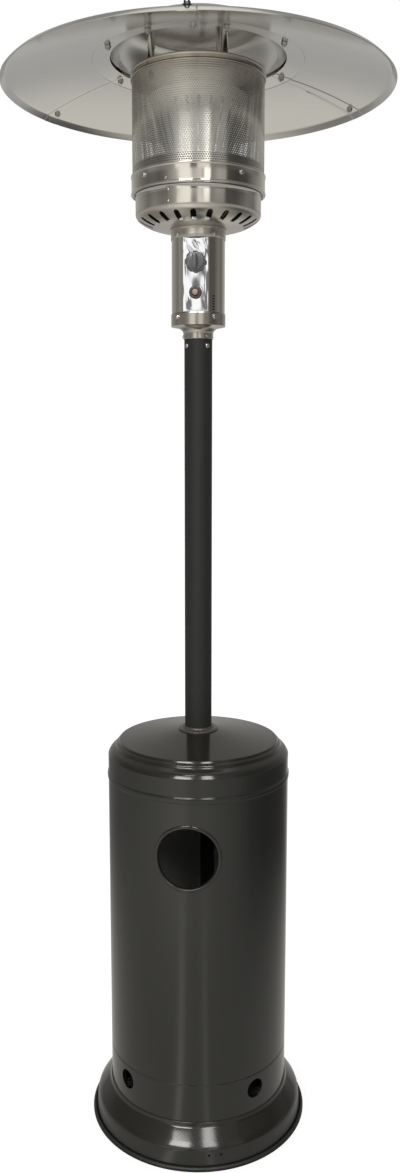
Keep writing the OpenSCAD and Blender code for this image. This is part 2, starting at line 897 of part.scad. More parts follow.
// Tube from the side of the valve through the burner plate to the burner
module riser(side, drop, d) {
    x = valve_w / 2 + seat_gap;
    bent_rod([
        [side * x, 0, knob_h + drop], [side * rod_r, 0, knob_h + drop],
        [side * rod_r, 0, box_top + 18], [side * rod_out_r, 0, head_foot],
        [side * rod_out_r, 0, head_top + 6]], d);
}

module pilot_tube() {
    color(copper) riser(-1, 6, 5);
}

module thermocouple() {
    color(copper) riser(1, 0, 4);
}

// Burner

module burner_plate() {
    hole = 6;
    color(steel) difference() {
        translate([0, 0, burner_plate_z])
            ring(box_r - box_t - seat_gap, tube_r + seat_gap, burner_plate_t);
        for (side = [-1, 1])
            translate([side * rod_r, 0, burner_plate_z - 1]) cylinder(d = hole, h = burner_plate_t + 2);
        translate(polar(electrode_angle, rod_r, burner_plate_z - 1))
            cylinder(d = ceramic_d + 2 * seat_gap, h = burner_plate_t + 2);
    }
}

module mixing_tube() {
    air_d = 9;
    color(steel) difference() {
        translate([0, 0, tube_foot]) ring(tube_r, tube_r - tube_t, head_foot + 6 - tube_foot);
        for (a = [0:90:270])
            at_radius(a, tube_r - 4, tube_foot + 14) cylinder(d = air_d, h = 8);
    }
}

module burner_head() {
    wall = 1.5;
    ports = 12;
    bore = tube_r + seat_gap;
    color(steel) difference() {
        revolve([
            [bore, head_foot], [bore + 5, head_foot], [bore + 5, head_foot + 7], [head_r, head_foot + 16],
            [head_r, head_top], [0, head_top], [0, head_top - wall], [head_r - wall, head_top - wall],
            [head_r - wall, head_foot + 17], [bore, head_foot + 9]]);
        for (i = [0:ports - 1])
            on_slope(i * 360 / ports, head_r * 0.7, head_top - 3) cylinder(d = 6, h = 6);
    }
}

module burner_cone() {
    foot = head_top + seat_gap;
    slot_foot = foot + 20;
    path = [[head_r - 8, foot], [head_r + 1, foot], [cone_top_r, foot + cone_h]];
    color(steel) difference() {
        revolve(sheet(path, head_t));
        for (i = [0:cone_slots - 1])
            rotate([0, 0, (i + 0.5) * 360 / cone_slots])
                translate([-cone_slot_w / 2, -cone_top_r - 5, slot_foot])
                    cube([cone_slot_w, cone_top_r - head_r + 12, cone_h - 40]);
    }
}

cup_edge_turn = 58;
cup_foot_r = cup_r - cup_edge_r * (1 - cos(cup_edge_turn));
cup_dish_z = box_top - 3.5;
cup_lip_r = clamp_r - 1;
cup_lip_z = cup_top - lip_seat - seat_gap - head_t;
cup_path = concat(
    [[band_r, box_top - cup_neck_h]],
    [for (s = [0:0.125:0.99]) [
        band_r + (cup_foot_r - band_r) * s, cup_dish_z + cup_cone_h * (0.18 * s + 0.82 * s * s)]],
    arc([cup_r - cup_edge_r, cup_dish_z + cup_cone_h + cup_edge_r * sin(cup_edge_turn)],
        cup_edge_r, -cup_edge_turn, 0),
    [[cup_r, cup_lip_z], [cup_lip_r, cup_lip_z]]);

module burner_cup() {
    color(steel) difference() {
        revolve(sheet(cup_path, head_t));
        for (i = [0:slot_n - 1])
            rotate([0, 0, i * 360 / slot_n + slot_turn])
                translate([-slot_w / 2, -slot_r1, cup_dish_z])
                    cube([slot_w, slot_r1 - slot_r0, cup_cone_h + 6]);
        band_screw_holes();
    }
}

module clamp_bolt_holes() {
    for (a = clamp_bolt_angles)
        at_radius(a, clamp_r - 10, clamp_bolt_z) cylinder(d = m5_d + 2 * seat_gap, h = 16);
}

module cup_collar() {
    top = cup_top - lip_seat + clamp_h;
    color(steel) difference() {
        revolve([
            [cup_r + seat_gap, cup_top - lip_seat], [clamp_r, cup_top - lip_seat],
            [clamp_r, top - 4], [clamp_r + 0.8, top - 3], [clamp_r + 0.8, top - 1], [clamp_r, top],
            [clamp_r - clamp_t, top], [clamp_r - clamp_t, cup_top], [cup_r + seat_gap, cup_top]]);
        clamp_bolt_holes();
    }
}

module collar_bolts() {
    color(zinc) for (a = clamp_bolt_angles)
        at_radius(a, clamp_r + seat_gap, clamp_bolt_z) pan_screw(m5_d, 7);
}

// Emitter

module emitter_screen() {
    row_pitch = (emitter_h - 2 * mesh_margin - clamp_h + 6) / (mesh_rows - 1);
    row_foot = emitter_foot + clamp_h + mesh_margin - 12;
    color(steel) difference() {
        translate([0, 0, emitter_foot]) ring(emitter_r, emitter_r - screen_t, emitter_h);
        for (row = [0:mesh_rows - 1])
            for (col = [0:mesh_cols - 1])
                at_radius((col + row % 2 / 2) * 360 / mesh_cols, emitter_r - 4, row_foot + row * row_pitch)
                    cylinder(d = mesh_d, h = 8);
        clamp_bolt_holes();
    }
}

module emitter_lid() {
    inner_r = emitter_r + seat_gap;
    outer_r = inner_r + head_t;
    foot = emitter_top - skirt_h;
    color(steel) difference() {
        revolve([
            [0, emitter_top + seat_gap], [inner_r, emitter_top + seat_gap], [inner_r, foot],
            [outer_r, foot], [outer_r + skirt_bead, foot + 1], [outer_r + skirt_bead, foot + 3],
            [outer_r, foot + 4], [outer_r, lid_plate_top - 4],
            [outer_r + skirt_bead, lid_plate_top - 3], [outer_r + skirt_bead, lid_plate_top - 1],
            [outer_r, lid_plate_top], [0, lid_plate_top]]);
        for (a = stud_angles)
            on_slope(a, stud_r, emitter_top - 1) cylinder(d = m6_d + 2 * seat_gap, h = head_t + 3);
    }
}

// Spacer tubes and rods that carry the dome

module spacer_tubes() {
    foot = lid_plate_top + seat_gap;
    color(steel) for (a = stud_angles)
        on_slope(a, stud_r, foot) {
            ring(spacer_d / 2, m6_d / 2 + seat_gap, dome_top - seat_gap - foot);
            translate([0, 0, spacer_ring_z]) ring(spacer_d / 2 + 1.2, spacer_d / 2 - 0.5, 3);
        }
}

module stud_rods() {
    foot = emitter_top - m6_d - 2;
    color(zinc) for (a = stud_angles)
        on_slope(a, stud_r, foot) cylinder(d = m6_d, h = dome_top + panel_t + m6_d + 1 - foot);
}

module stud_nuts() {
    color(zinc) for (a = stud_angles) {
        on_slope(a, stud_r, emitter_top + seat_gap - 0.8 * m6_d - seat_gap) hex_nut(m6_d);
        on_slope(a, stud_r, dome_top + panel_t + seat_gap) hex_nut(m6_d);
    }
}

// Reflector: the path follows the underside from the opening to the rim

crease_r = opening_r + flange_w;
crease_z = flange_z - flange_drop;
cone_r = rim_r - lip_w;
cone_z = crease_z - cone_drop;
panel_path = concat(
    [[opening_r, flange_z]],
    [for (i = [0:4]) let (s = i / 4) [
        crease_r + (cone_r - crease_r) * s,
        crease_z - cone_drop * s + 4 * cone_crown * s * (1 - s)]],
    [[rim_r, cone_z - lip_w]]);

// Height of the panels' underside at radius r
function panel_at(r) = lookup(r, panel_path);

module reflector_panel(start) {
    low = shifted(panel_path, -lap_gap);
    color(aluminium) difference() {
        union() {
            sector(sheet(panel_path, panel_t), start, start + 120 - butt_angle);
            sector(sheet(low, panel_t + lap_gap), start, start + joggle_angle);
            sector(sheet(low, panel_t), start - lap_angle, start + joggle_angle);
        }
        ring_bolt_holes();
        seam_bolt_holes();
    }
}

module ring_bolt_holes() {
    for (a = ring_angles)
        on_slope(a, ring_bolt_r, panel_at(ring_bolt_r), flange_slope)
            translate([0, 0, -8]) cylinder(d = m6_d + 4 * seat_gap, h = dome_gap + 20);
}

// The cone's slope where the seam bolts sit
seam_slope = atan((panel_at(seam_bolt_r - 4) - panel_at(seam_bolt_r + 4)) / 8);

module seam_bolt_holes() {
    for (a = seam_angles)
        on_slope(a, seam_bolt_r, panel_at(seam_bolt_r), seam_slope)
            translate([0, 0, -6]) cylinder(d = m6_d + 4 * seat_gap, h = 14);
}

module reflector_panel_1() { reflector_panel(panel_start); }

module reflector_panel_2() { reflector_panel(panel_start + 120); }

module reflector_panel_3() { reflector_panel(panel_start + 240); }

dome_path = concat(
    [[0, dome_top]],
    [for (i = [0:6]) let (s = i / 6) [
        dome_flat_r + (opening_r - dome_flat_r) * s,
        dome_foot + dome_rise * pow(1 - s * s, 0.7)]],
    [[dome_r, dome_foot - flange_drop * (dome_r - opening_r) / flange_w]]);

module reflector_dome() {
    color(aluminium) difference() {
        revolve(sheet(dome_path, panel_t));
        ring_bolt_holes();
        for (a = stud_angles)
            on_slope(a, stud_r, dome_top - 1) cylinder(d = m6_d + 2 * seat_gap, h = panel_t + 3);
    }
}

// Local height of the dome flange's top above the panels' underside, along the normal
dome_over = (panel_t + dome_gap) * cos(flange_slope) + panel_t;

module dome_spacers() {
    color(zinc) for (a = ring_angles)
        on_slope(a, ring_bolt_r, panel_at(ring_bolt_r), flange_slope)
            translate([0, 0, panel_t + seat_gap])
                ring(m6_d, m6_d / 2 + seat_gap, dome_over - 2 * panel_t - 2 * seat_gap);
}

module ring_bolts() {
    color(zinc) for (a = ring_angles)
        on_slope(a, ring_bolt_r, panel_at(ring_bolt_r), flange_slope)
            translate([0, 0, dome_over + seat_gap]) hex_bolt(m6_d, dome_over + lap_gap + m6_d + 2);
}

module ring_nuts() {
    color(zinc) for (a = ring_angles)
        on_slope(a, ring_bolt_r, panel_at(ring_bolt_r), flange_slope)
            translate([0, 0, -lap_gap - seat_gap - 0.8 * m6_d]) hex_nut(m6_d);
}

module seam_bolts() {
    color(zinc) for (a = seam_angles)
        on_slope(a, seam_bolt_r, panel_at(seam_bolt_r), seam_slope)
            translate([0, 0, panel_t + washer_t + 3 * seat_gap])
                hex_bolt(m6_d, panel_t + washer_t + lap_gap + m6_d + 2);
}

module seam_nuts() {
    color(zinc) for (a = seam_angles)
        on_slope(a, seam_bolt_r, panel_at(seam_bolt_r), seam_slope)
            translate([0, 0, -lap_gap - 2 * seat_gap - 0.8 * m6_d]) hex_nut(m6_d);
}

module seam_washers() {
    color(zinc) for (k = [1, 2])
        on_slope(seam_angles[k], seam_bolt_r, panel_at(seam_bolt_r), seam_slope)
            translate([0, 0, panel_t + 2 * seat_gap])
                ring(washer_d / 2, m6_d / 2 + seat_gap, washer_t);
}

// Bent wire loop on the front seam's bolt
module rim_loop() {
    reach = 9;
    straight = loop_h - loop_top_r;
    lean = atan((loop_w / 2 - loop_top_r) / straight);
    color(black) on_slope(seam_angles[0], seam_bolt_r, panel_at(seam_bolt_r), seam_slope)
        translate([0, 0, panel_t + 2 * seat_gap]) {
            difference() {
                union() {
                    cylinder(d = washer_d, h = washer_t);
                    translate([-washer_d / 2, -reach - loop_wire / 2, 0])
                        cube([washer_d, reach + loop_wire / 2, washer_t]);
                }
                translate([0, 0, -1]) cylinder(d = m6_d + 2 * seat_gap, h = washer_t + 2);
            }
            translate([0, -reach, 0.5]) {
                for (side = [-1, 1])
                    translate([side * loop_w / 2, 0, 0]) rotate([0, -side * lean, 0])
                        cylinder(d = loop_wire, h = straight / cos(lean));
                translate([0, 0, straight]) rotate([90, 0, 0])
                    rotate_extrude(angle = 180) translate([loop_top_r, 0]) circle(d = loop_wire);
            }
        }
}

base_trim();
base_pan();
base_weight();
vent_ring();
support_leg_1();
support_leg_2();
support_leg_3();
leg_bolts();
leg_nuts();
post_flange();
flange_bolts();
flange_nuts();
housing_shell();
housing_cap();
post_collar();
post();
post_bolts();
neck_cone();
neck_screws();
control_box();
control_plate();
box_screws();
gas_valve();
valve_rotor();
valve_stem();
control_knob();
inlet_fitting();
gas_jet();
tilt_switch();
igniter_barrel();
igniter_bezel();
igniter_button();
ignition_lead();
spark_electrode();
pilot_tube();
thermocouple();
burner_plate();
mixing_tube();
burner_head();
burner_cone();
burner_cup();
cup_collar();
collar_bolts();
emitter_screen();
emitter_lid();
spacer_tubes();
stud_rods();
stud_nuts();
reflector_panel_1();
reflector_panel_2();
reflector_panel_3();
reflector_dome();
dome_spacers();
ring_bolts();
ring_nuts();
seam_bolts();
seam_nuts();
seam_washers();
rim_loop();
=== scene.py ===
# %% [markdown]
# # Gas patio heater
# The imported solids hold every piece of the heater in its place. This lesson dresses them: the
# pressed, spun and perforated sheets are drawn again as fine surfaces, each piece gets its
# finish, and a soft studio lights it. All lengths below are millimetres until a mesh is made.
# The front of the heater faces -Y, and every angle is counted from the front towards the right.

# %% Load the frame
import json

import bmesh
import bpy
import numpy as np
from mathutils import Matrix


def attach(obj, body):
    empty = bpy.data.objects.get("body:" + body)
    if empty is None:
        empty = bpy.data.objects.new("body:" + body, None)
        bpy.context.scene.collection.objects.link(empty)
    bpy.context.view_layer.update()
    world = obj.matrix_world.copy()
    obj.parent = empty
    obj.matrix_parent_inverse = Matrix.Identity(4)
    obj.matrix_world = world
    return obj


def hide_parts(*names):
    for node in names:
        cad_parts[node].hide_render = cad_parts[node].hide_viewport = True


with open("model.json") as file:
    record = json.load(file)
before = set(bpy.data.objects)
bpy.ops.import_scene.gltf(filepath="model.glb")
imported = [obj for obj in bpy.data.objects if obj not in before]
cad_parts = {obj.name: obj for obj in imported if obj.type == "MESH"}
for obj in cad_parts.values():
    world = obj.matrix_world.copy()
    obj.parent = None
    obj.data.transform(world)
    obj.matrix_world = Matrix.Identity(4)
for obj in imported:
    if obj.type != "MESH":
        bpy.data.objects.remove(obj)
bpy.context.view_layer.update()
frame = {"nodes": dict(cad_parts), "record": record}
nodes = frame["nodes"]
slot_of = {part["node"]: part["material_slot"] for part in frame["record"]["subparts"]}
MM = 0.001
print("solids in the frame:", len(nodes))

# %% [markdown]
# ## Camera
# The photograph was taken from a little right of the front, at chest height, and tilted down.
# A long picture uses the long side of the sensor, so the lens is its height in pixels.

# %% Place the camera
VIEW_ANGLE = np.radians(6.6)
VIEW_DISTANCE = 2.0787
VIEW_HEIGHT = 1.458
VIEW_TILT = np.radians(8.44)
FOCAL_PIXELS = 1023
PICTURE_HEIGHT = 1173
SENSOR = 36
AXIS_SHIFT = 0.00145

scene = bpy.context.scene
eye = bpy.data.cameras.new("eye")
eye.sensor_width = SENSOR
eye.lens = SENSOR * FOCAL_PIXELS / PICTURE_HEIGHT
eye.shift_x = AXIS_SHIFT
camera = bpy.data.objects.new("eye", eye)
camera.location = (VIEW_DISTANCE * np.sin(VIEW_ANGLE), -VIEW_DISTANCE * np.cos(VIEW_ANGLE), VIEW_HEIGHT)
camera.rotation_euler = (np.pi / 2 - VIEW_TILT, 0, VIEW_ANGLE)
scene.collection.objects.link(camera)
scene.camera = camera
print("lens in millimetres:", round(eye.lens, 2))

# %% [markdown]
# ## Lines and paths
# Sheet metal is drawn as a path in the plane of radius and height. A press leaves no sharp
# corners, so every corner becomes a short curve, and a wall is the path and its neighbour.

# %% Helpers for paths
def rounded(path, reach, n=6):
    """Each inner corner becomes a quadratic curve that starts and ends reach away from it."""
    p = np.asarray(path, float)
    before, after = p[1:-1] - p[:-2], p[2:] - p[1:-1]
    len_before = np.linalg.norm(before, axis=1)
    len_after = np.linalg.norm(after, axis=1)
    cut = np.minimum(reach, 0.48 * np.minimum(len_before, len_after))
    start = p[1:-1] - before * (cut / len_before)[:, None]
    end = p[1:-1] + after * (cut / len_after)[:, None]
    t = np.linspace(0, 1, n)[None, :, None]
    curve = (1 - t) ** 2 * start[:, None] + 2 * t * (1 - t) * p[1:-1, None] + t**2 * end[:, None]
    return np.vstack([p[:1], curve.reshape(-1, 2), p[-1:]])


def beside(path, t):
    """The path moved t to its left, with each corner on the line that halves it."""
    step = np.diff(path, axis=0)
    left = np.column_stack([-step[:, 1], step[:, 0]]) / np.linalg.norm(step, axis=1)[:, None]
    both = np.vstack([left[:1], left]) + np.vstack([left, left[-1:]])
    return path + both * (2 * t / (both**2).sum(axis=1))[:, None]


def sheet(path, t):
    """Closed outline of a sheet of thickness t on the left of the path."""
    return np.vstack([path, beside(path, t)[::-1]])


def lines(stops, step):
    """Lines through every stop, evenly spaced between two stops and at most step apart."""
    spans = list(zip(stops[:-1], stops[1:]))
    counts = [int(np.ceil((b - a) / step)) for a, b in spans]
    parts = [np.linspace(*span, n, endpoint=False) for span, n in zip(spans, counts)]
    return np.append(np.concatenate(parts), stops[-1])


def along(path):
    """Distance of every point of a path from its start."""
    return np.append(0, np.cumsum(np.linalg.norm(np.diff(path, axis=0), axis=1)))


print("corner of a square, rounded:", len(rounded([[0, 0], [1, 0], [1, 1]], 0.2)), "points")

# %% [markdown]
# ## Surfaces
# A surface is a grid of points from two parameters, held as one array. The quads between
# neighbouring points come from the grid's own numbering, and wrap where the surface closes.

# %% Helpers for surfaces
def full_turn(n=192):
    """Equal angles once round the axis, from the back."""
    return np.linspace(-np.pi, np.pi, n, endpoint=False)


def around(r, z, angle):
    """Point at radius r and height z, turned by the angle from the front towards the right."""
    r, z, angle = np.broadcast_arrays(r, z, angle)
    return np.stack([r * np.sin(angle), -r * np.cos(angle), z], axis=-1).reshape(-1, 3)


def quads(rows, cols, close_rows=False, close_cols=False):
    """Quads between neighbouring points of a grid; a closed direction wraps round."""
    i = np.arange(rows if close_rows else rows - 1)[:, None]
    j = np.arange(cols if close_cols else cols - 1)[None, :]
    i, j = np.broadcast_arrays(i, j)
    here, below, right = i * cols, (i + 1) % rows * cols, (j + 1) % cols
    return np.stack([here + j, here + right, below + right, below + j], axis=-1).reshape(-1, 4)


def outwards(points, faces):
    """Turns a closed surface so that the volume it encloses is positive."""
    a, b, c, d = (points[faces[:, k]] for k in range(4))
    six_volumes = (a * np.cross(b, c)).sum() + (a * np.cross(c, d)).sum()
    return points, faces if six_volumes > 0 else faces[:, ::-1]


def normals(points, faces):
    """Each face's area vector added to its corners, then made one long."""
    a, b, c, d = (points[faces[:, k]] for k in range(4))
    area = np.repeat(np.cross(c - a, d - b), 4, axis=0)
    total = np.zeros_like(points)
    np.add.at(total, faces.reshape(-1), area)
    return total / np.maximum(np.linalg.norm(total, axis=1), 1e-12)[:, None]


def walled(points, faces, t):
    """A second sheet t behind the first, and a rim of quads along every free edge."""
    keep, index = np.unique(faces, return_inverse=True)
    points, faces = points[keep], index.reshape(-1, 4)
    n = len(points)
    behind = points - t * normals(points, faces)
    edges = np.stack([faces, np.roll(faces, -1, axis=1)], axis=-1).reshape(-1, 2)
    free = edges[~np.isin(edges @ [n, 1], edges @ [1, n])]
    rim = np.column_stack([free[:, 1], free[:, 0], free[:, 0] + n, free[:, 1] + n])
    return np.vstack([points, behind]), np.vstack([faces, faces[:, ::-1] + n, rim])


def turned(outline, angles=192, swell=None):
    """A closed outline carried once round the axis; swell adds to the radius by angle."""
    if np.isscalar(angles):
        angles = full_turn(angles)
    outline = np.asarray(outline, float)
    r = outline[:, :1] + (0 if swell is None else swell(angles)[None, :])
    points = around(r, outline[:, 1:], angles[None, :])
    return outwards(points, quads(len(outline), len(angles), True, True))


def hoop(inner, outer, foot, top, angles=192):
    """A plain ring between two radii and two heights."""
    return turned([[inner, foot], [outer, foot], [outer, top], [inner, top]], angles)


def joined(*parts):
    """Several surfaces as one."""
    starts = np.append(0, np.cumsum([len(points) for points, _ in parts]))
    faces = [f + start for (_, f), start in zip(parts, starts)]
    return np.vstack([points for points, _ in parts]), np.vstack(faces)


def to_front(surface, height):
    """A surface round the upright axis, laid over so that its axis points to the front."""
    points, faces = surface
    return outwards(np.column_stack([points[:, 0], -points[:, 2], height - points[:, 1]]), faces)


print("quads of a closed 8 by 12 grid:", len(quads(8, 12, True, True)))

# %% [markdown]
# ## Holes
# A punched hole keeps the grid: the square of lines round its centre is pulled on to a circle,
# and the quads inside are left out. The pull fades to nothing at twice the hole's radius, so
# the rest of the sheet stays as it was.

# %% Helpers for holes
HOLE_STEPS = np.linspace(-2, 2, 33)


def drilled(u, v, holes):
    """Grid lines u and v, with holes (u, v, radius). A point whose larger offset from a centre
    is m moves towards distance m from it. Gives both coordinates of the grid, and which of its
    points lie inside a hole."""
    for cu, cv, radius in holes:
        zone = 2 * radius * 1.0001
        u_lines, v_lines = cu + radius * HOLE_STEPS, cv + radius * HOLE_STEPS
        u = np.sort(np.append(u[abs(u - cu) > zone], u_lines))
        v = np.unique(np.append(v[(abs(v - cv) > zone) | np.isin(v, v_lines)], v_lines))
    uu, vv = (grid.copy() for grid in np.meshgrid(u, v))
    inside = np.zeros(uu.shape, bool)
    for cu, cv, radius in holes:
        du, dv = uu - cu, vv - cv
        square = np.maximum(abs(du), abs(dv))
        pull = np.clip(2 - square / radius, 0, 1)
        factor = 1 + pull * (square / np.maximum(np.hypot(du, dv), 1e-9) - 1)
        inside |= square < radius * 1.001
        uu, vv = cu + du * factor, cv + dv * factor
    return uu, vv, inside


def left_out(faces, inside):
    """The quads that don't lie wholly inside a hole."""
    return faces[~inside.reshape(-1)[faces].all(axis=1)]


def punched(path, radius, holes, t):
    """A sheet on a path, once round the axis. A hole is its angle, its distance along the path and
    its size; angles become arcs at the radius."""
    s = along(path)
    u, v, inside = drilled(radius * full_turn(), s, [(radius * a, at, size) for a, at, size in holes])
    points = around(np.interp(v, s, path[:, 0]), np.interp(v, s, path[:, 1]), u / radius)
    return walled(points, left_out(quads(*v.shape, close_cols=True), inside), t)


print("points round a hole:", len(HOLE_STEPS) // 2 * 4)

# %% [markdown]
# ## From arrays to objects
# Every finished piece sits at the origin with its place in its mesh, follows one body of the
# frame, and stands for the solid that it refines. Faces that meet at a slight angle are
# shaded as one surface, and the rest keep their edge.

# %% Make a piece
SMOOTH_BELOW = np.radians(38)
made = {}


def piece(name, surface, body="stand", stands_for=None, slot=None):
    """A mesh from a surface, which rides a body, stands for solids and takes a slot."""
    points, faces = surface
    mesh = bpy.data.meshes.new(name)
    mesh.from_pydata(points * MM, [], faces)
    weld = bmesh.new()
    weld.from_mesh(mesh)
    bmesh.ops.remove_doubles(weld, verts=weld.verts, dist=1e-6)
    weld.to_mesh(mesh)
    weld.free()
    mesh.polygons.foreach_set("use_smooth", np.ones(len(mesh.polygons), bool))
    mesh.set_sharp_from_angle(angle=SMOOTH_BELOW)
    obj = bpy.data.objects.new(name, mesh)
    scene.collection.objects.link(obj)
    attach(obj, body)
    for node in stands_for or []:
        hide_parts(node)
    slot = slot or slot_of[stands_for[0]]
    made[name] = slot
    print(name, len(mesh.polygons), "faces")
    return obj


# %% [markdown]
# ## Base
# A heavy pan is pressed from one sheet: a steep wall, a sloping shoulder that catches the
# light, and a platform for the gas bottle. A rubber trim closes its foot. Two small holes at
# the front right are punched through the wall.

# %% Base pan and trim
PAN_FOOT = np.array([224, 3.5])
PAN_KNEE = np.array([219, 40])
PAN_T = 2
TANK_RADIUS = 188.5
BASE_TOP = 81
PAN_HOLE_Z = 29.5
PAN_HOLE_D = 4.5
PAN_HOLES = np.radians([12.3, 18.6])

pan_path = rounded(
    [PAN_FOOT, PAN_KNEE, [213, 49], [197, 67.5], [192.5, 72.5], [190.2, 80.4], [187, BASE_TOP],
     [0, BASE_TOP]], [8, 7, 7, 4, 1, 1])
wall_share = (PAN_HOLE_Z - PAN_FOOT[1]) / (PAN_KNEE[1] - PAN_FOOT[1])
hole_s = wall_share * np.linalg.norm(PAN_KNEE - PAN_FOOT)
hole_r = PAN_FOOT[0] + wall_share * (PAN_KNEE[0] - PAN_FOOT[0])
pan_holes = [(angle, hole_s, PAN_HOLE_D / 2) for angle in PAN_HOLES]
piece("base_dish", punched(pan_path, hole_r, pan_holes, PAN_T), stands_for=["base_pan"])

trim_outline = rounded(
    [[218, 0], [229, 0], [230.2, 1.5], [230.2, 6.5], [228, 9], [224.4, 9], [224.4, 3], [217, 3],
     [217, 0], [218, 0]], 1)
piece("base_edge", turned(trim_outline[:-1]), stands_for=["base_trim"])

# %% [markdown]
# ## Vented ring
# The housing stands on a short ring with four round vents. Inside its upper edge, a lip centres
# the housing when it comes down.

# %% Vented ring
RING_TOP = 160
SHEET_T = 1.2
VENT_Z = 128
VENT_R = 20
VENT_ANGLES = np.radians([-135, -45, 45, 135])

ring_path = rounded(
    [[TANK_RADIUS, BASE_TOP], [TANK_RADIUS, 100], [TANK_RADIUS, RING_TOP - 1.6], [187.6, RING_TOP]], 1.2)
vent_s = np.interp(VENT_Z, ring_path[:, 1], along(ring_path))
vents = [(angle, vent_s, VENT_R) for angle in VENT_ANGLES]
ring_wall = punched(ring_path, TANK_RADIUS, vents, SHEET_T)
ring_lip = turned([[187.2, 158], [187.2, 160], [186.7, 160], [186.7, 172], [185.5, 172], [185.5, 158]])
ring_foot = hoop(180.5, 187.6, BASE_TOP, BASE_TOP + SHEET_T)
piece("vented_ring", joined(ring_wall, ring_lip, ring_foot), stands_for=["vent_ring"])

# %% [markdown]
# ## Housing
# A rolled cylinder hides the gas bottle. Its round hand hole has a raised, turned-in bead,
# drawn as a profile carried round the hole on the cylinder's own surface.

# %% Housing shell
SHELL_TOP = 751.5
SEAM_GAP = 1
HAND_Z = 640
HAND_R = 62

shell_z = lines([RING_TOP + SEAM_GAP, SHELL_TOP], 20)
u, v, inside = drilled(TANK_RADIUS * full_turn(), shell_z, [(0, HAND_Z, HAND_R)])
shell_points = around(TANK_RADIUS, v, u / TANK_RADIUS)
shell_faces = left_out(quads(*v.shape, close_cols=True), inside)
piece("bottle_shell", walled(shell_points, shell_faces, SHEET_T), "housing", ["housing_shell"])


def round_the_hole(profile, n=160):
    """Profile of (distance from the hole's centre, height over the sheet), carried round the
    hole: the point at turn t and distance d lies at arc d cos t and height d sin t."""
    t = full_turn(n)[None, :]
    d, over = profile[:, :1], profile[:, 1:]
    points = around(TANK_RADIUS + over, HAND_Z + d * np.sin(t), d * np.cos(t) / TANK_RADIUS)
    return outwards(points, quads(len(profile), n, True, True))


bead_profile = rounded(
    np.array([[4, -0.4], [6.8, -0.4], [7.2, 0.2], [5.5, 1.5], [2.8, 2], [0.4, 1.3], [-0.6, -0.5],
              [-0.6, -6], [0.4, -6], [0.6, -0.8], [4, -0.4]]) + [HAND_R, 0], 0.7, 4)
piece("hand_hole_bead", round_the_hole(bead_profile[:-1]), "housing", slot="charcoal_paint")

# %% [markdown]
# ## Cap
# The cap is one deep pressing: a rolled bead over the shell, a straight wall, a rounded
# shoulder, a groove and a shallow cone. A moulded collar slides on the post.

# %% Cap and collar
LID_EDGE = 830.5
LID_TOP = 850.5

cap_path = rounded(
    [[188.3, 751.5], [190.1, 753], [190.5, 758], [190.1, 763], [188.4, 765], [188.4, 801.5], [183, 811],
     [172.5, 817.5], [171, 823.5], [166.5, 825.6], [164.5, LID_EDGE], [160, 831.2], [31.8, LID_TOP]],
    [1, 2, 2, 1, 1, 9, 6, 2.5, 2.5, 1.5, 1.5], 8)
cap_spigot = turned([[184.9, 741.5], [186.1, 741.5], [186.1, 752], [188, 752], [188, 753], [184.9, 753]])
piece("bottle_cap", joined(turned(sheet(cap_path, SHEET_T)), cap_spigot), "housing", ["housing_cap"])

collar_outline = rounded(
    [[34, 842.5], [31.5, 842.5], [31.5, 850.8], [42, 849.1], [42, 851.2], [39.2, 853.4],
     [33.4, 854], [32, 857.5], [28.1, 857.5], [28.1, 842.5], [30, 842.5]],
    [0.3, 0.3, 0.5, 1.2, 1.5, 1, 1, 0.4, 0.3])
piece("sliding_collar", turned(collar_outline[1:-1], 96), "housing", ["post_collar"])

# %% [markdown]
# ## Post and neck
# The post is a plain painted tube. Above it a spun neck flares out in a concave curve, which
# is a quarter of an ellipse, and grips the control box with a band.

# %% Post and neck
POST_R = 27.75
POST_BORE = 26.25
NECK_FOOT = 1644.5
FLARE_FOOT = 1655
BOX_FOOT = 1669
SLEEVE_R = 29.6
BAND_R = 53.5

piece("tube", hoop(POST_BORE, POST_R, 779.5, 1654.5, 96), stands_for=["post"])

t = np.linspace(0, np.pi / 2, 24)[:, None]
flare = np.hstack([
    SLEEVE_R + (BAND_R - SLEEVE_R) * (1 - np.cos(t)),
    FLARE_FOOT + (BOX_FOOT - FLARE_FOOT) * np.sin(t)])
sleeve = [
    [28.2, NECK_FOOT], [SLEEVE_R - 0.4, NECK_FOOT], [SLEEVE_R, NECK_FOOT + 0.8],
    [SLEEVE_R, NECK_FOOT + 3]]
band = [[BAND_R, BOX_FOOT + h] for h in (0.5, 21.3, 22)] + [[BAND_R - 0.6, BOX_FOOT + 24]]
neck_path = np.vstack([rounded(sleeve, 0.8), flare, band])
neck_spigot = turned(
    [[24.6, 1600], [26.1, 1600], [26.1, 1655], [28.5, 1655], [28.5, 1657], [24.6, 1657]], 96)
piece("neck_flare", joined(turned(sheet(neck_path, SHEET_T)), neck_spigot), stands_for=["neck_cone"])

# %% [markdown]
# ## Control box
# A thin rolled cylinder with a tall window at the front and six slits at the right. Both are
# straight cuts, so the grid gets a line at each edge and the quads between are left out.

# %% Control box
BOX_R = 52.2
BOX_TOP = 1851
WINDOW_HALF = 24.5
WINDOW_Z = (1694, 1832)
SLIT_ANGLE = np.radians(41)
SLIT_HALF = 2.5 / BOX_R
SLIT_Z = 1697 + 5 * np.arange(6)
SLIT_H = 2.2

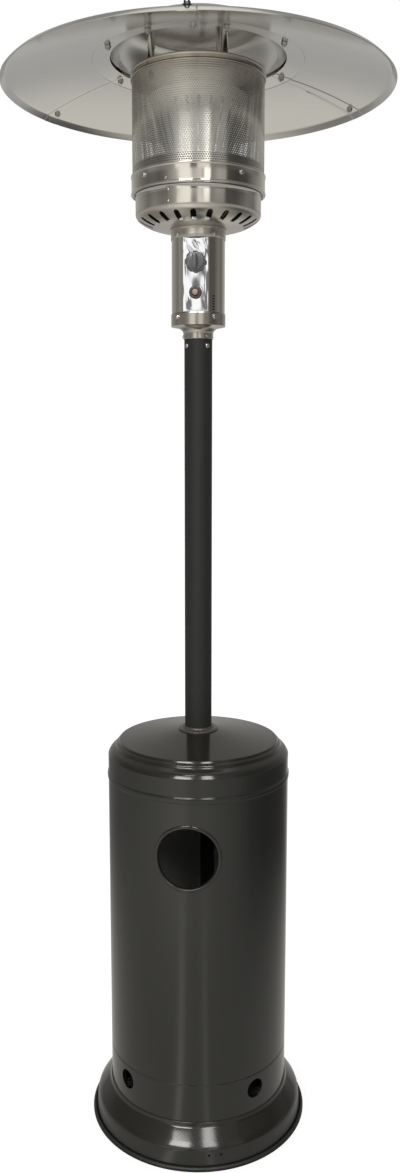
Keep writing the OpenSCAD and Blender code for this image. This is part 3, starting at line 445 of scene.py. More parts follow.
window_angle = np.arcsin(WINDOW_HALF / BOX_R)
slit_sides = [SLIT_ANGLE - SLIT_HALF, SLIT_ANGLE + SLIT_HALF]
box_u = lines([-np.pi, -window_angle, window_angle, *slit_sides, np.pi], 0.05)[:-1]
slit_edges = np.column_stack([SLIT_Z, SLIT_Z + SLIT_H]).reshape(-1)
box_v = np.unique(np.concatenate([lines([1670.3, WINDOW_Z[0], WINDOW_Z[1], BOX_TOP], 8), slit_edges]))
uu, vv = np.meshgrid(box_u, box_v)
box_faces = quads(*uu.shape, close_cols=True)
mid_u = uu.reshape(-1)[box_faces[:, 0]] + 1e-4
mid_v = vv.reshape(-1)[box_faces].mean(axis=1)
in_window = (abs(mid_u) < window_angle) & (mid_v > WINDOW_Z[0]) & (mid_v < WINDOW_Z[1])
at_slit = (mid_v[:, None] > SLIT_Z) & (mid_v[:, None] < SLIT_Z + SLIT_H)
in_slit = (abs(mid_u - SLIT_ANGLE) < SLIT_HALF) & at_slit.any(axis=1)
box_sheet = walled(around(BOX_R, vv, uu), box_faces[~(in_window | in_slit)], 1)
piece("control_drum", box_sheet, stands_for=["control_box"])

# %% [markdown]
# ## Control plate
# A polished tray fills the window. Thin polished sheet is never quite flat, and it shows: the
# mirror images on it bend. A few long waves, a tenth of a millimetre high, do the same here.

# %% Control plate
PLATE_Y = 45.6
PLATE_HALF = 24.3
PLATE_Z = (1694.2, 1831.8)
KNOB_Z = 1786
IGNITER_Z = 1729.5
PLATE_DEPTH = 10
PLATE_T = 0.9
PLATE_HOLE_R = 8.1

u, v, inside = drilled(
    lines([-PLATE_HALF, 0, PLATE_HALF], 1.5), lines([PLATE_Z[0], KNOB_Z - 30, PLATE_Z[1]], 1.5),
    [(0, KNOB_Z, PLATE_HOLE_R), (0, IGNITER_Z, PLATE_HOLE_R)])
from_ends = np.minimum(v - PLATE_Z[0], PLATE_Z[1] - v)
edge = np.clip((PLATE_HALF - abs(u)) / 6, 0, 1) * np.clip(from_ends / 8, 0, 1)
wave = np.sin(0.11 * v + 0.16 * u) + 0.7 * np.sin(0.075 * v - 0.21 * u + 1.3)
wave += 0.4 * np.cos(0.19 * u * (1 + 0.01 * v))
bulge = 0.35 * (1 - (u / PLATE_HALF) ** 2)
high_dent = 0.5 * np.exp(-(u - 5) ** 2 / 90 - (v - 1817) ** 2 / 70)
low_dent = 0.4 * np.exp(-(u + 8) ** 2 / 60 - (v - 1705) ** 2 / 90)
crumple = 0.4 * np.sin(0.34 * u + 0.24 * v) * np.exp(-((v - 1816) / 13) ** 2)
out = edge * (0.2 * wave + bulge + crumple - high_dent - low_dent)
plate_points = np.stack([u, -PLATE_Y - out, v], axis=-1).reshape(-1, 3)
plate_face = walled(plate_points, left_out(quads(*v.shape), inside), PLATE_T)
square = np.array([[-1, -1], [1, -1], [1, 1], [-1, 1], [-1, -1]])
loop = rounded(square * [PLATE_HALF, (PLATE_Z[1] - PLATE_Z[0]) / 2], 1.5, 5)
tray_x, tray_z = loop[:, 0], loop[:, 1] + sum(PLATE_Z) / 2
tray_y = np.array([-PLATE_Y - 0.1, -PLATE_Y + PLATE_DEPTH])[:, None]
tray = np.stack(np.broadcast_arrays(tray_x[None, :], tray_y, tray_z[None, :]), axis=-1).reshape(-1, 3)
plate_side = walled(tray, quads(2, len(loop)), PLATE_T)
piece("mirror_plate", joined(plate_face, plate_side), stands_for=["control_plate"])

# %% [markdown]
# ## Knob and igniter
# The knob is a round skirt with shallow scallops and a tall grip across it. The skirt is a
# turned profile whose radius dips eight times round; the grip is a stack of rounded rectangles.

# %% Knob, bezel and button
KNOB_BACK = 50.6


def scalloped(profile, depth, n=192, lobes=8):
    """Turned profile of (radius, distance, share); the radius dips by depth times its share."""
    t = full_turn(n)[None, :]
    r, out, share = (profile[:, k:k + 1] for k in range(3))
    dip = depth * share * (0.5 - 0.5 * np.cos(lobes * t)) ** 2
    points = around(np.maximum(r - dip, 0), out, t)
    return outwards(points, quads(len(profile), n, True, True))


def rounded_bar(sections, n=64):
    """Sections of (half width, half height, distance), each a rounded rectangle: a
    superellipse with the power 2 / 5."""
    t = full_turn(n)[None, :]
    w, h, out = (sections[:, k:k + 1] for k in range(3))
    across, up = np.cos(t), np.sin(t)
    x = w * np.sign(across) * abs(across) ** 0.4
    z = h * np.sign(up) * abs(up) ** 0.4
    points = np.stack(np.broadcast_arrays(x, -out, z + KNOB_Z), axis=-1).reshape(-1, 3)
    return outwards(points, quads(len(sections), n, True, True))


skirt = np.array([
    [0, 0, 0], [18.6, 0, 0.6], [19.8, 0.5, 1], [20, 1.3, 1], [20, 4.6, 1], [19.4, 5.4, 1],
    [18.2, 5.8, 0.6], [17.4, 6.2, 0], [17, 7.8, 0], [16.2, 9.2, 0], [15, 9.6, 0],
    [0, 9.6, 0]]) + [0, KNOB_BACK, 0]
grip = np.array([
    [0, 0, 8.6], [5.4, 15.4, 8.6], [5.2, 15.2, 9.6], [4.5, 14.4, 16], [4.1, 13.8, 18.8],
    [3.4, 13, 19.8], [2.2, 11.6, 20.2], [0, 0, 20.2]]) + [0, 0, KNOB_BACK]
knob_skirt = to_front(scalloped(skirt, 1.7), KNOB_Z)
piece("gas_knob", joined(knob_skirt, rounded_bar(grip)), "knob", ["control_knob"])

bezel_outline = rounded(
    [[9, 45.75], [12.5, 45.75], [12.5, 48.4], [11.6, 50], [9.6, 50.8], [7.2, 50.6], [6.35, 49.6],
     [6.35, 45.75], [9, 45.75]], 0.8)
piece("igniter_ring", to_front(turned(bezel_outline[:-1], 72), IGNITER_Z), stands_for=["igniter_bezel"])
button_outline = rounded(
    [[0, 33.6], [6, 33.6], [6, 54.2], [5.2, 56.3], [3.2, 57], [0, 57.2]], [0.5, 1.4, 1.2, 1])
piece("spark_button", to_front(turned(button_outline, 64), IGNITER_Z), "igniter", ["igniter_button"])

# %% [markdown]
# ## Burner cup
# A spun cup with 22 air slots in its dished bottom. Each slot keeps its width along its length,
# so its angle shrinks as the radius grows, and its two end lines bow out into half circles. The
# tongue of metal from each slot stays on, bent up at the inner end, where it catches the light.
# Inside, a thin dark lining goes behind the wall and the screen's foot: painted shade.

# %% Burner cup
SLOTS = 22
SLOT_TURN = np.radians(1.6)
SLOT_HALF = 5.6
SLOT_COLS = 8
SLOT_SHARE = 0.3
SLOT_R = (92.6, 110.4)
CUP_NECK = 1832.5
CUP_R = 122
SEAM_ANGLE = np.radians(-22.4)
SEAM_FADE = 70
DISH_Z = 1852.4
DISH_RISE = 17.1
EDGE_R = 13
EDGE_TURN = np.radians(58)
TONGUE_TURN = np.radians(88)
dish_end = CUP_R - EDGE_R * (1 - np.cos(EDGE_TURN))
edge_z = DISH_Z + DISH_RISE + EDGE_R * np.sin(EDGE_TURN)


def dish(r):
    """Height of the cup's bottom at radius r: a rise of 0.03 s and 0.97 s to the power 2.65 from
    the neck to the rounded edge, and a circle from there on."""
    s = np.clip((r - BAND_R) / (dish_end - BAND_R), 0, 1)
    along_edge = np.clip(r - CUP_R + EDGE_R, 0, EDGE_R)
    bottom = DISH_Z + DISH_RISE * (0.03 * s + 0.97 * s**2.65)
    return np.where(r < dish_end, bottom, edge_z - np.sqrt(EDGE_R**2 - along_edge**2))


def lap(angles, radius, height):
    """Height of the upper end of a rolled sheet over the lower one: full at the seam, gone at the
    arc SEAM_FADE past it."""
    past = np.mod(angles - SEAM_ANGLE, 2 * np.pi) * radius
    return height * np.clip(1 - past / SEAM_FADE, 0, 1)


dish_r = np.array([
    55.4, 58, 64, 70, 76, 82, 86.5, SLOT_R[0], 97, 101.5, 106, SLOT_R[1],
    116.4, 117.4, 118.6, 119.8, 120.8, 121.5, 121.9])
neck = np.array([
    [-0.5, CUP_NECK - 0.3], [0, CUP_NECK + 0.6], [0, 1840], [0, 1848.4], [0.4, 1848.9],
    [1.1, 1849.3], [1.7, 1849.9], [1.9, 1850.6], [1.7, 1851.3], [1.2, 1851.9],
    [1.2, 1852.3]]) + [BAND_R, 0]
cup_path = np.vstack([
    neck, np.column_stack([dish_r, dish(dish_r)]),
    [[CUP_R, z] for z in (edge_z, 1886, 1896, 1904, 1912.4)], [[123, 1913.7], [128.2, 1913.9]]])
path_row = np.arange(len(cup_path))[:, None]
in_dish = (path_row >= len(neck)) & (path_row < len(neck) + len(dish_r))
t = np.concatenate([
    np.linspace(-SLOT_SHARE, SLOT_SHARE, SLOT_COLS, endpoint=False),
    np.linspace(SLOT_SHARE, 1 - SLOT_SHARE, SLOT_COLS, endpoint=False)])
t_all = np.tile(t, SLOTS)[None, :]
slot_no = np.repeat(np.arange(SLOTS), len(t))[None, :]
r, z = cup_path[:, :1], cup_path[:, 1:]
half = np.arcsin(SLOT_HALF / np.clip(r, *SLOT_R))
pitch = 2 * np.pi / SLOTS
within = abs(t_all) <= SLOT_SHARE + 1e-9
in_slot = t_all / SLOT_SHARE
in_gap = (t_all - SLOT_SHARE) / (1 - 2 * SLOT_SHARE)
turn = np.where(within, in_slot * half, half + in_gap * (pitch - 2 * half))
bow = np.where(within, SLOT_HALF * np.sqrt(np.clip(1 - in_slot**2, 0, 1)), 0)
row_r = r - bow * (abs(r - SLOT_R[0]) < 0.1) + bow * (abs(r - SLOT_R[1]) < 0.1)
row_z = np.where(in_dish, dish(row_r), z)
angle = SLOT_TURN + slot_no * pitch + turn
lapped = np.where((z > edge_z - 4) & (z < 1913), lap(angle, CUP_R, 0.6), 0)
cup_faces = quads(*angle.shape, close_cols=True)
first = cup_faces[:, 0]
row_of, col_of = first // angle.shape[1], first % angle.shape[1]
face_r, face_z = cup_path[row_of, 0], cup_path[row_of, 1]
between = (face_r >= SLOT_R[0] - 0.1) & (face_r < SLOT_R[1] - 0.1) & (face_z < edge_z)
open_slot = between & (col_of % len(t) < SLOT_COLS)
cup_points = around(row_r + lapped, row_z, angle)
is_bottom = face_z < edge_z - 1
cup_bottom = walled(cup_points, cup_faces[is_bottom & ~open_slot], SHEET_T)
cup_wall = walled(cup_points, cup_faces[~is_bottom], SHEET_T)


def tongues(length=6, n=9):
    """Strips that start at the inner end of each slot and curve up into the cup: the slope
    grows from the dish's own to nearly upright over the first half of the length."""
    r0 = SLOT_R[0] - SLOT_HALF - 0.5
    first_slope = np.arctan((dish(r0 + 1) - dish(r0 - 1)) / 2)
    s = np.linspace(0, 1, n)
    slope = first_slope + (TONGUE_TURN - first_slope) * np.clip(2 * s, 0, 1)
    reach = length * np.append(0, np.cumsum(np.cos(slope[:-1]))) / (n - 1)
    rise = length * np.append(0, np.cumsum(np.sin(slope[:-1]))) / (n - 1)
    across = np.linspace(-0.8, 0.8, 5) * SLOT_HALF
    centre = (SLOT_TURN + np.arange(SLOTS) * pitch)[:, None, None]
    radius = (r0 + reach)[None, :, None]
    height = (dish(r0) + rise)[None, :, None]
    points = around(radius, height, centre + across[None, None, :] / radius)
    one = quads(n, len(across))
    faces = (one[None] + (np.arange(SLOTS) * n * len(across))[:, None, None]).reshape(-1, 4)
    return walled(points, faces, 0.8)


piece("slotted_dish", cup_bottom, stands_for=["burner_cup"])
piece("slot_tongues", tongues(), slot="stainless")
piece("cup_wall", cup_wall, stands_for=["burner_cup"])
# Painted shade: a dark sheet just inside the cup's edge and wall, and a dark band behind the screen's
# lowest holes.
lining_r = dish_r[dish_r > SLOT_R[1] + SLOT_HALF][:-1]
lining_path = np.vstack([
    np.column_stack([lining_r, dish(lining_r)]), [[CUP_R, edge_z], [CUP_R, 1912]]]) + [-1.8, 0.9]
inner_band = hoop(124.4, 125.3, 1913, 1967)
piece("scorched_lining", joined(turned(sheet(lining_path, 0.3)), inner_band), slot="stainless")

# %% [markdown]
# ## Clamp collar
# A rolled band joins cup and emitter. Its foot and head are beaded, and its ends overlap at the
# front left, where the upper end stands out by its own thickness and falls off to nothing.

# %% Clamp collar
COLLAR_R = 129.4

collar_angles = np.unique(np.append(full_turn(), SEAM_ANGLE + np.array([-0.003, 0])))
clamp_outline = rounded(
    [[125, 1915], [129.2, 1914.6], [130.6, 1915.8], [130.6, 1917.6], [129.5, 1918.8],
     [129.4, 1946.5], [130.4, 1947.6], [130.5, 1950], [129.6, 1951.2], [127.7, 1951.2],
     [127.7, 1917.2], [122.2, 1917.2], [122.2, 1915], [125, 1915]], 0.9)
clamp = turned(clamp_outline[:-1], collar_angles, lambda angles: lap(angles, COLLAR_R, 0.7))
piece("clamp_band", clamp, stands_for=["cup_collar"])


def rivet(degrees, r, z, head=2.3, dome=1.3, n=16):
    """A low dome on an upright wall: at turn t and share s of its radius it stands out by
    dome times the root of one less s squared."""
    t = full_turn(n)[None, :]
    s = np.linspace(0, 1, 7)[:, None]
    out = dome * np.sqrt(1 - s**2)
    across = head * s * np.cos(t)
    dome_points = around(r + out, z + head * s * np.sin(t), np.radians(degrees) + across / r)
    base_points = around(r - 1, z + 0 * t, np.radians(degrees) + 0 * t)
    return outwards(np.vstack([dome_points, base_points]), quads(8, n, True, True))


rivets = joined(
    rivet(-20.8, COLLAR_R + 0.6, 1924), rivet(-20.4, CUP_R + 0.5, 1905),
    rivet(-20.4, CUP_R + 0.5, 1885))
piece("seam_rivets", rivets, slot="stainless")

# %% [markdown]
# ## Emitter screen
# The screen that glows is sheet steel with thousands of small holes in staggered rows. Each hole
# sits in a hexagon of sheet, and six quads fill a hexagon. Neighbouring hexagons share their
# corners, so the whole screen is one array of centres added to one cell.

# %% Emitter screen
SCREEN_R = 127.5
SCREEN_T = 0.8
SCREEN_Z = (1943, 2130)
HOLES_ROUND = 180
HOLE_R = 1.75
TIERS = 2

hole_pitch = 2 * np.pi * SCREEN_R / HOLES_ROUND
row_pitch = hole_pitch * np.sqrt(3) / 2
row = np.arange(int((SCREEN_Z[1] - SCREEN_Z[0]) / row_pitch) // TIERS)
col = np.arange(HOLES_ROUND)
corner = np.radians(60 * np.arange(6))
cell_r = np.concatenate([np.full(6, hole_pitch / np.sqrt(3)), np.full(6, HOLE_R)])
cell_x, cell_z = cell_r * np.tile(np.sin(corner), 2), cell_r * np.tile(np.cos(corner), 2)
k = np.arange(6)
cell = np.column_stack([k, k + 6, (k + 1) % 6 + 6, (k + 1) % 6])


def perforated(first_row):
    """One tier of the screen: every second row is half a pitch further round, and each centre
    carries the same cell of six quads; corners that meet become one."""
    rows = first_row + row
    x = (col[None, :] + 0.5 * (rows % 2)[:, None]) * hole_pitch
    z = np.broadcast_to(SCREEN_Z[0] + rows[:, None] * row_pitch, x.shape)
    points = around(SCREEN_R, z.reshape(-1, 1) + cell_z, (x.reshape(-1, 1) + cell_x) / SCREEN_R)
    faces = (cell[None] + 12 * np.arange(x.size)[:, None, None]).reshape(-1, 4)
    _, first, same = np.unique(np.round(points, 3), axis=0, return_index=True, return_inverse=True)
    return walled(points[first], same.reshape(-1)[faces], SCREEN_T)


lower_band = hoop(SCREEN_R - SCREEN_T, SCREEN_R, 1917.1, 1945)
upper_band = hoop(SCREEN_R - SCREEN_T, SCREEN_R, 2124, 2137)
screen_tiers = [perforated(tier * len(row)) for tier in range(TIERS)]
piece("screen_lower", joined(screen_tiers[0], lower_band), stands_for=["emitter_screen"])
piece("screen_upper", joined(screen_tiers[1], upper_band), stands_for=["emitter_screen"])

# %% [markdown]
# ## Emitter lid
# The lid is a flat plate whose skirt carries two rolled beads, the two light lines that ring
# the top of the screen.

# %% Emitter lid
lid_outline = rounded(
    [[60, 2137.2], [127.6, 2137.2], [127.6, 2124.1], [128.9, 2123.8], [130, 2124.8], [130, 2126.6],
     [128.8, 2128], [128.8, 2134], [130.1, 2135.4], [130.1, 2137.6], [128.6, 2138.5], [121, 2138.5],
     [118, 2137.9], [0, 2137.9], [0, 2137.2], [60, 2137.2]], 0.9)
piece("screen_lid", turned(lid_outline[:-1]), stands_for=["emitter_lid"])

# %% [markdown]
# ## Reflector
# Three panels of satin aluminium overlap to make a wide shallow hat. A panel is a profile swept
# through a third of a turn. Its first few degrees step down by the sheet's thickness, so that
# the panel before it can lie on top.

# %% Reflector panels
PANEL_T = 1
THIRD = 2 * np.pi / 3
OPENING = (168.5, 2165.4)
CREASE = (203.5, 2158.8)
CONE_END = (365, 2121.8)
RIM = (375, 2111.8)
CONE_CROWN = 4
LIP_CROWN = 0.3
LAP = np.radians(4.5)
LAP_STEP = np.radians(0.5)
FIRST_PANEL = np.radians(6)

s = np.linspace(0, 1, 25)[:, None]
cone = np.hstack([
    CREASE[0] + (CONE_END[0] - CREASE[0]) * s,
    CREASE[1] + (CONE_END[1] - CREASE[1]) * s + 4 * CONE_CROWN * s * (1 - s)])
flange = rounded([OPENING, [CREASE[0] - 1, CREASE[1] + 1], CREASE, cone[1]], 0.5)[:-1]
s = np.linspace(0, 1, 11)[:, None]
lip = CONE_END + (np.array(RIM) - CONE_END) * s + 4 * LIP_CROWN * s * (1 - s) * np.sqrt([0.5, 0.5])
panel_path = np.vstack([flange, cone[1:-1], lip])


def panel(start):
    """Underside of a panel: the path, moved down by a lap before the step, turned by the angle."""
    end = start + THIRD - 0.001
    angles = np.unique(np.concatenate([
        np.linspace(start - LAP, start, 5), start + LAP_STEP * np.linspace(0, 1, 7),
        np.linspace(start + LAP_STEP, end, 84)]))
    ramp = np.clip((angles - start) / LAP_STEP, 0, 1)
    drop = (PANEL_T + 0.15) * (1 - ramp**2 * (3 - 2 * ramp))
    low = beside(panel_path, -1) - panel_path
    r = panel_path[:, :1] + low[:, :1] * drop
    z = panel_path[:, 1:] + low[:, 1:] * drop
    points = around(r, z, angles[None, :])
    return walled(points, quads(*r.shape)[:, ::-1], PANEL_T)


for number in (1, 2, 3):
    leaf = panel(FIRST_PANEL + (number - 1) * THIRD)
    piece(f"reflector_leaf_{number}", leaf, stands_for=[f"reflector_panel_{number}"])

# %% [markdown]
# ## Dome
# A spun dome stands over the opening on short spacers. Its underside is the dark hollow seen
# above the emitter. The top of that hollow is also darkened in its colour: painted shade.

# %% Dome
DOME_FOOT = 2171.4
DOME_RISE = 50
DOME_BRIM = 200.5
DOME_FLAT_R = 102

s = np.linspace(0, 1, 24)[1:, None]
bowl = np.hstack([
    DOME_FLAT_R + (OPENING[0] - DOME_FLAT_R) * s,
    DOME_FOOT + DOME_RISE * np.clip(1 - s**2, 0, 1) ** 0.7])
flat = [[r, DOME_FOOT + DOME_RISE] for r in (0, DOME_FLAT_R - 6)]
dome_path = np.vstack([flat, bowl, [[DOME_BRIM, OPENING[1]]]])
piece("hot_dome", turned(sheet(dome_path, PANEL_T)), stands_for=["reflector_dome"])

# %% [markdown]
# ## Nodes
# A finish is a graph of nodes, and so is the sky. A few short functions add the nodes that come
# up again and again, and give the socket that holds the result.

# %% Helpers for nodes
def effect(name, result, **values):
    """An empty group that reads a position and more values, and has one result; gives the group,
    its entry and its exit. A tuple is a colour."""
    group = bpy.data.node_groups.new(name, "ShaderNodeTree")
    add = group.interface.new_socket
    add("Position", in_out="INPUT", socket_type="NodeSocketVector")
    for label, value in values.items():
        kind = "Color" if isinstance(value, tuple) else "Float"
        add(label, in_out="INPUT", socket_type="NodeSocket" + kind).default_value = value
    kind = "Color" if result == "Color" else "Float"
    add(result, in_out="OUTPUT", socket_type="NodeSocket" + kind)
    entry = group.nodes.new("NodeGroupInput").outputs
    return group, entry, group.nodes.new("NodeGroupOutput").inputs[result]


def node(tree, kind, links=(), **settings):
    """A node with its settings; each link is a socket's name or number and what feeds it."""
    new = tree.nodes.new("ShaderNode" + kind)
    for key, value in settings.items():
        setattr(new, key, value)
    for socket, source in links:
        if isinstance(source, (int, float, tuple)):
            new.inputs[socket].default_value = source
        else:
            tree.links.new(source, new.inputs[socket])
    return new.outputs


def noise(tree, place, scale, detail, roughness=0.5):
    """Cloudy noise between 0 and 1."""
    links = [("Vector", place), ("Scale", scale), ("Detail", detail), ("Roughness", roughness)]
    return node(tree, "TexNoise", links)["Fac"]


def ranged(tree, value, low, high, to_low=0.0, to_high=1.0, kind="LINEAR"):
    """The value, moved from the range low to high into another, and kept within it."""
    links = [
        ("Value", value), ("From Min", low), ("From Max", high), ("To Min", to_low), ("To Max", to_high)]
    return node(tree, "MapRange", links, interpolation_type=kind)["Result"]


def maths(tree, operation, *values, clamp=False):
    """One sum of up to three values."""
    return node(tree, "Math", enumerate(values), operation=operation, use_clamp=clamp)["Value"]


def blend(tree, share, first, second):
    """The first colour where the share is 0, the second where it is 1."""
    return node(tree, "Mix", [("Factor", share), (6, first), (7, second)], data_type="RGBA")[2]


def heights(tree, vector):
    """The upward part of a vector."""
    return node(tree, "SeparateXYZ", [("Vector", vector)])["Z"]


def from_axis(tree, place):
    """Distance from the upright axis."""
    level = node(tree, "VectorMath", [(0, place), (1, (1.0, 1.0, 0.0))], operation="MULTIPLY")
    return node(tree, "VectorMath", [(0, level["Vector"])], operation="LENGTH")["Value"]


print("helpers for nodes: noise, ranged, maths, blend, heights, from_axis")

# %% [markdown]
# ## Shared effects
# Several finishes need the same things: uneven gloss from handling, a fine texture, lines left
# by turning or rolling, tint from heat (on the dome, painted shade instead) and a little dust.
# Each is a node group that is built once; a material places it with its own numbers.

# %% Effects
handled, entry, leave = effect("handled_gloss", "Roughness", Scale=9.0, Low=0.2, High=0.3)
cloud = noise(handled, entry["Position"], entry["Scale"], 5.0, 0.6)
handled.links.new(ranged(handled, cloud, 0.3, 0.7, entry["Low"], entry["High"]), leave)

fine, entry, leave = effect("fine_texture", "Height", Scale=400.0, Swell=6.0)
small = noise(fine, entry["Position"], entry["Scale"], 2.0)
large = noise(fine, entry["Position"], entry["Swell"], 1.0)
fine.links.new(maths(fine, "MULTIPLY_ADD", large, 40.0, small), leave)

ringed, entry, leave = effect("turning_lines", "Line", Scale=900.0)
ladder = node(
    ringed, "CombineXYZ",
    [("X", from_axis(ringed, entry["Position"])), ("Y", heights(ringed, entry["Position"]))])
ringed.links.new(noise(ringed, ladder["Vector"], entry["Scale"], 3.0, 0.7), leave)

# Heat tint on the screen and its lid; on the dome, the same group paints shade into the top of its
# hollow.
heat_and_shade_tint, entry, leave = effect(
    "heat_tint_and_painted_shade", "Color", Metal=(0.6, 0.6, 0.6, 1), Tint=(0.4, 0.3, 0.2, 1),
    Cold=2.0, Hot=2.1, Amount=0.6)
height = heights(heat_and_shade_tint, entry["Position"])
rise = ranged(heat_and_shade_tint, height, entry["Cold"], entry["Hot"], kind="SMOOTHSTEP")
patch = noise(heat_and_shade_tint, entry["Position"], 14.0, 3.0)
some = maths(heat_and_shade_tint, "MULTIPLY", rise, patch)
amount = maths(heat_and_shade_tint, "MULTIPLY", some, entry["Amount"], clamp=True)
heat_and_shade_tint.links.new(blend(heat_and_shade_tint, amount, entry["Metal"], entry["Tint"]), leave)

dusted, entry, leave = effect(
    "settled_dust", "Color", Under=(0.02, 0.02, 0.02, 1), Dust=(0.3, 0.28, 0.25, 1), Amount=0.1)
upward = ranged(dusted, heights(dusted, node(dusted, "NewGeometry")["Normal"]), 0.2, 1.0)
film = maths(dusted, "MULTIPLY", upward, noise(dusted, entry["Position"], 25.0, 6.0, 0.7))
grains = ranged(dusted, noise(dusted, entry["Position"], 900.0, 0.0), 0.62, 0.72)
some = maths(dusted, "MULTIPLY_ADD", grains, 0.25, film)
amount = maths(dusted, "MULTIPLY", some, entry["Amount"], clamp=True)
dusted.links.new(blend(dusted, amount, entry["Under"], entry["Dust"]), leave)

lined, entry, leave = effect(
    "bare_inside", "Color", Outside=(0.02, 0.02, 0.02, 1), Inside=(0.3, 0.3, 0.3, 1), Radius=0.1)
within = maths(lined, "LESS_THAN", from_axis(lined, entry["Position"]), entry["Radius"])
lined.links.new(blend(lined, within, entry["Outside"], entry["Inside"]), leave)
print("effects:", [group.name for group in bpy.data.node_groups])

# %% [markdown]
# ## Finishes
# A finish is one Principled shader. Its constant values are set on the shader itself, and the
# groups feed only what changes over the surface: colour, roughness and bump.

# %% Material builder
def finish(name, metallic=0.0, ior=1.5):
    """A new material; gives it, its tree and the position that patterns read."""
    material = bpy.data.materials.new(name)
    material.use_nodes = True
    tree = material.node_tree
    shader = tree.nodes["Principled BSDF"]
    shader.inputs["Metallic"].default_value = metallic
    shader.inputs["IOR"].default_value = ior
    return material, tree, node(tree, "TexCoord")["Object"]


def use(tree, group, place, **values):
    """A group in a material, with its own values."""
    new = tree.nodes.new("ShaderNodeGroup")
    new.node_tree = group
    tree.links.new(place, new.inputs["Position"])
    for label, value in values.items():
        if isinstance(value, bpy.types.NodeSocket):
            tree.links.new(value, new.inputs[label])
        else:
            new.inputs[label].default_value = value
    return new.outputs


finishes = {}


def complete(name, material, colour, rough, height, strength, distance):
    """Feeds a finish's shader with colour, roughness and bump, and keeps it under its name."""
    tree = material.node_tree
    bump = node(tree, "Bump", [("Height", height), ("Strength", strength), ("Distance", distance)])
    shader = tree.nodes["Principled BSDF"].inputs
    tree.links.new(colour, shader["Base Color"])
    tree.links.new(rough, shader["Roughness"])
    tree.links.new(bump["Normal"], shader["Normal"])
    finishes[name] = material


def paint(name, colour, gloss, dust, peel=0.25, ior=1.5, bare=None):
    """Sprayed paint: a little uneven gloss, a faint orange peel and dust on what faces up; bare
    gives a radius within which the sheet is left unpainted, and its colour there."""
    material, tree, place = finish(name, ior=ior)
    under = (*colour, 1)
    if bare:
        radius, inside = bare
        under = use(tree, lined, place, Outside=under, Inside=(*inside, 1), Radius=radius)["Color"]
    dusty = use(tree, dusted, place, Under=under, Amount=dust)["Color"]
    rough = use(tree, handled, place, Scale=7.0, Low=gloss[0], High=gloss[1])["Roughness"]
    grain = use(tree, fine, place, Scale=260.0, Swell=5.0)["Height"]
    complete(name, material, dusty, rough, grain, peel, 0.00006)


def metal(name, colour, gloss, tint=None, rings=0.0, swell=4.0, wobble=0.2):
    """Bare metal: uneven gloss, turning lines, slow waves, and a tint high up: heat tint where it gets
    hot, and painted shade at the top of the dome's hollow; tint gives a colour, the heights where it
    starts and is full, and its strength."""
    material, tree, place = finish(name, metallic=1.0)
    bare = (*colour, 1)
    if tint:
        tint_colour, cold, hot, amount = tint
        source = use(
            tree, heat_and_shade_tint, place, Metal=bare, Tint=(*tint_colour, 1), Cold=cold, Hot=hot, Amount=amount)
    else:
        dust = (*[0.6 * c for c in colour], 1)
        source = use(tree, dusted, place, Under=bare, Dust=dust, Amount=0.25)
    rough = use(tree, handled, place, Scale=11.0, Low=gloss[0], High=gloss[1])["Roughness"]
    line = use(tree, ringed, place)["Line"]
    varied = maths(tree, "MULTIPLY_ADD", line, rings, rough, clamp=True)
    grain = use(tree, fine, place, Scale=700.0, Swell=swell)["Height"]
    complete(name, material, source["Color"], varied, grain, wobble, 0.00005)


def moulded(name, colour, gloss, grain):
    """Moulded plastic, rubber or ceramic: a fine grain and uneven gloss."""
    material, tree, place = finish(name)
    dust = (*[0.6 * c + 0.1 for c in colour], 1)
    dusty = use(tree, dusted, place, Under=(*colour, 1), Dust=dust, Amount=0.12)["Color"]
    rough = use(tree, handled, place, Scale=40.0, Low=gloss[0], High=gloss[1])["Roughness"]
    height = use(tree, fine, place, Scale=1500.0, Swell=30.0)["Height"]
    complete(name, material, dusty, rough, height, grain, 0.00004)


paint("charcoal_paint", (0.0115, 0.0115, 0.0102), (0.10, 0.15), 0.04)
paint("shell_paint", (0.0115, 0.0115, 0.0102), (0.10, 0.15), 0.04, bare=(0.1879, (0.3, 0.3, 0.28)))
paint("black_paint", (0.016, 0.016, 0.0155), (0.5, 0.6), 0.04, ior=1.36)
metal("stainless", (0.62, 0.595, 0.55), (0.05, 0.09), None, 0.03)
metal("satin_steel", (0.56, 0.53, 0.475), (0.2, 0.27), None, 0.05)
metal("neck_steel", (0.47, 0.445, 0.40), (0.16, 0.22), None, 0.05)
# Dark steel for the burner's inner parts, and for the painted shade of the lining in the cup.
metal("scorch_and_shade_steel", (0.13, 0.115, 0.10), (0.5, 0.6), None, 0.05)
metal("hot_steel", (0.52, 0.49, 0.44), (0.08, 0.14), ((0.38, 0.33, 0.27), 2.0, 2.16, 0.8), 0.05)
screen_tint = ((0.50, 0.45, 0.385), 2.065, 2.14, 1.15)
metal("screen_steel", (0.82, 0.81, 0.77), (0.11, 0.16), screen_tint, 0.05)
metal("bright_plate", (0.78, 0.80, 0.85), (0.07, 0.1), None, 0.0)
metal("reflector_aluminium", (0.67, 0.655, 0.62), (0.11, 0.16), None, 0.05, 3.0, 0.3)
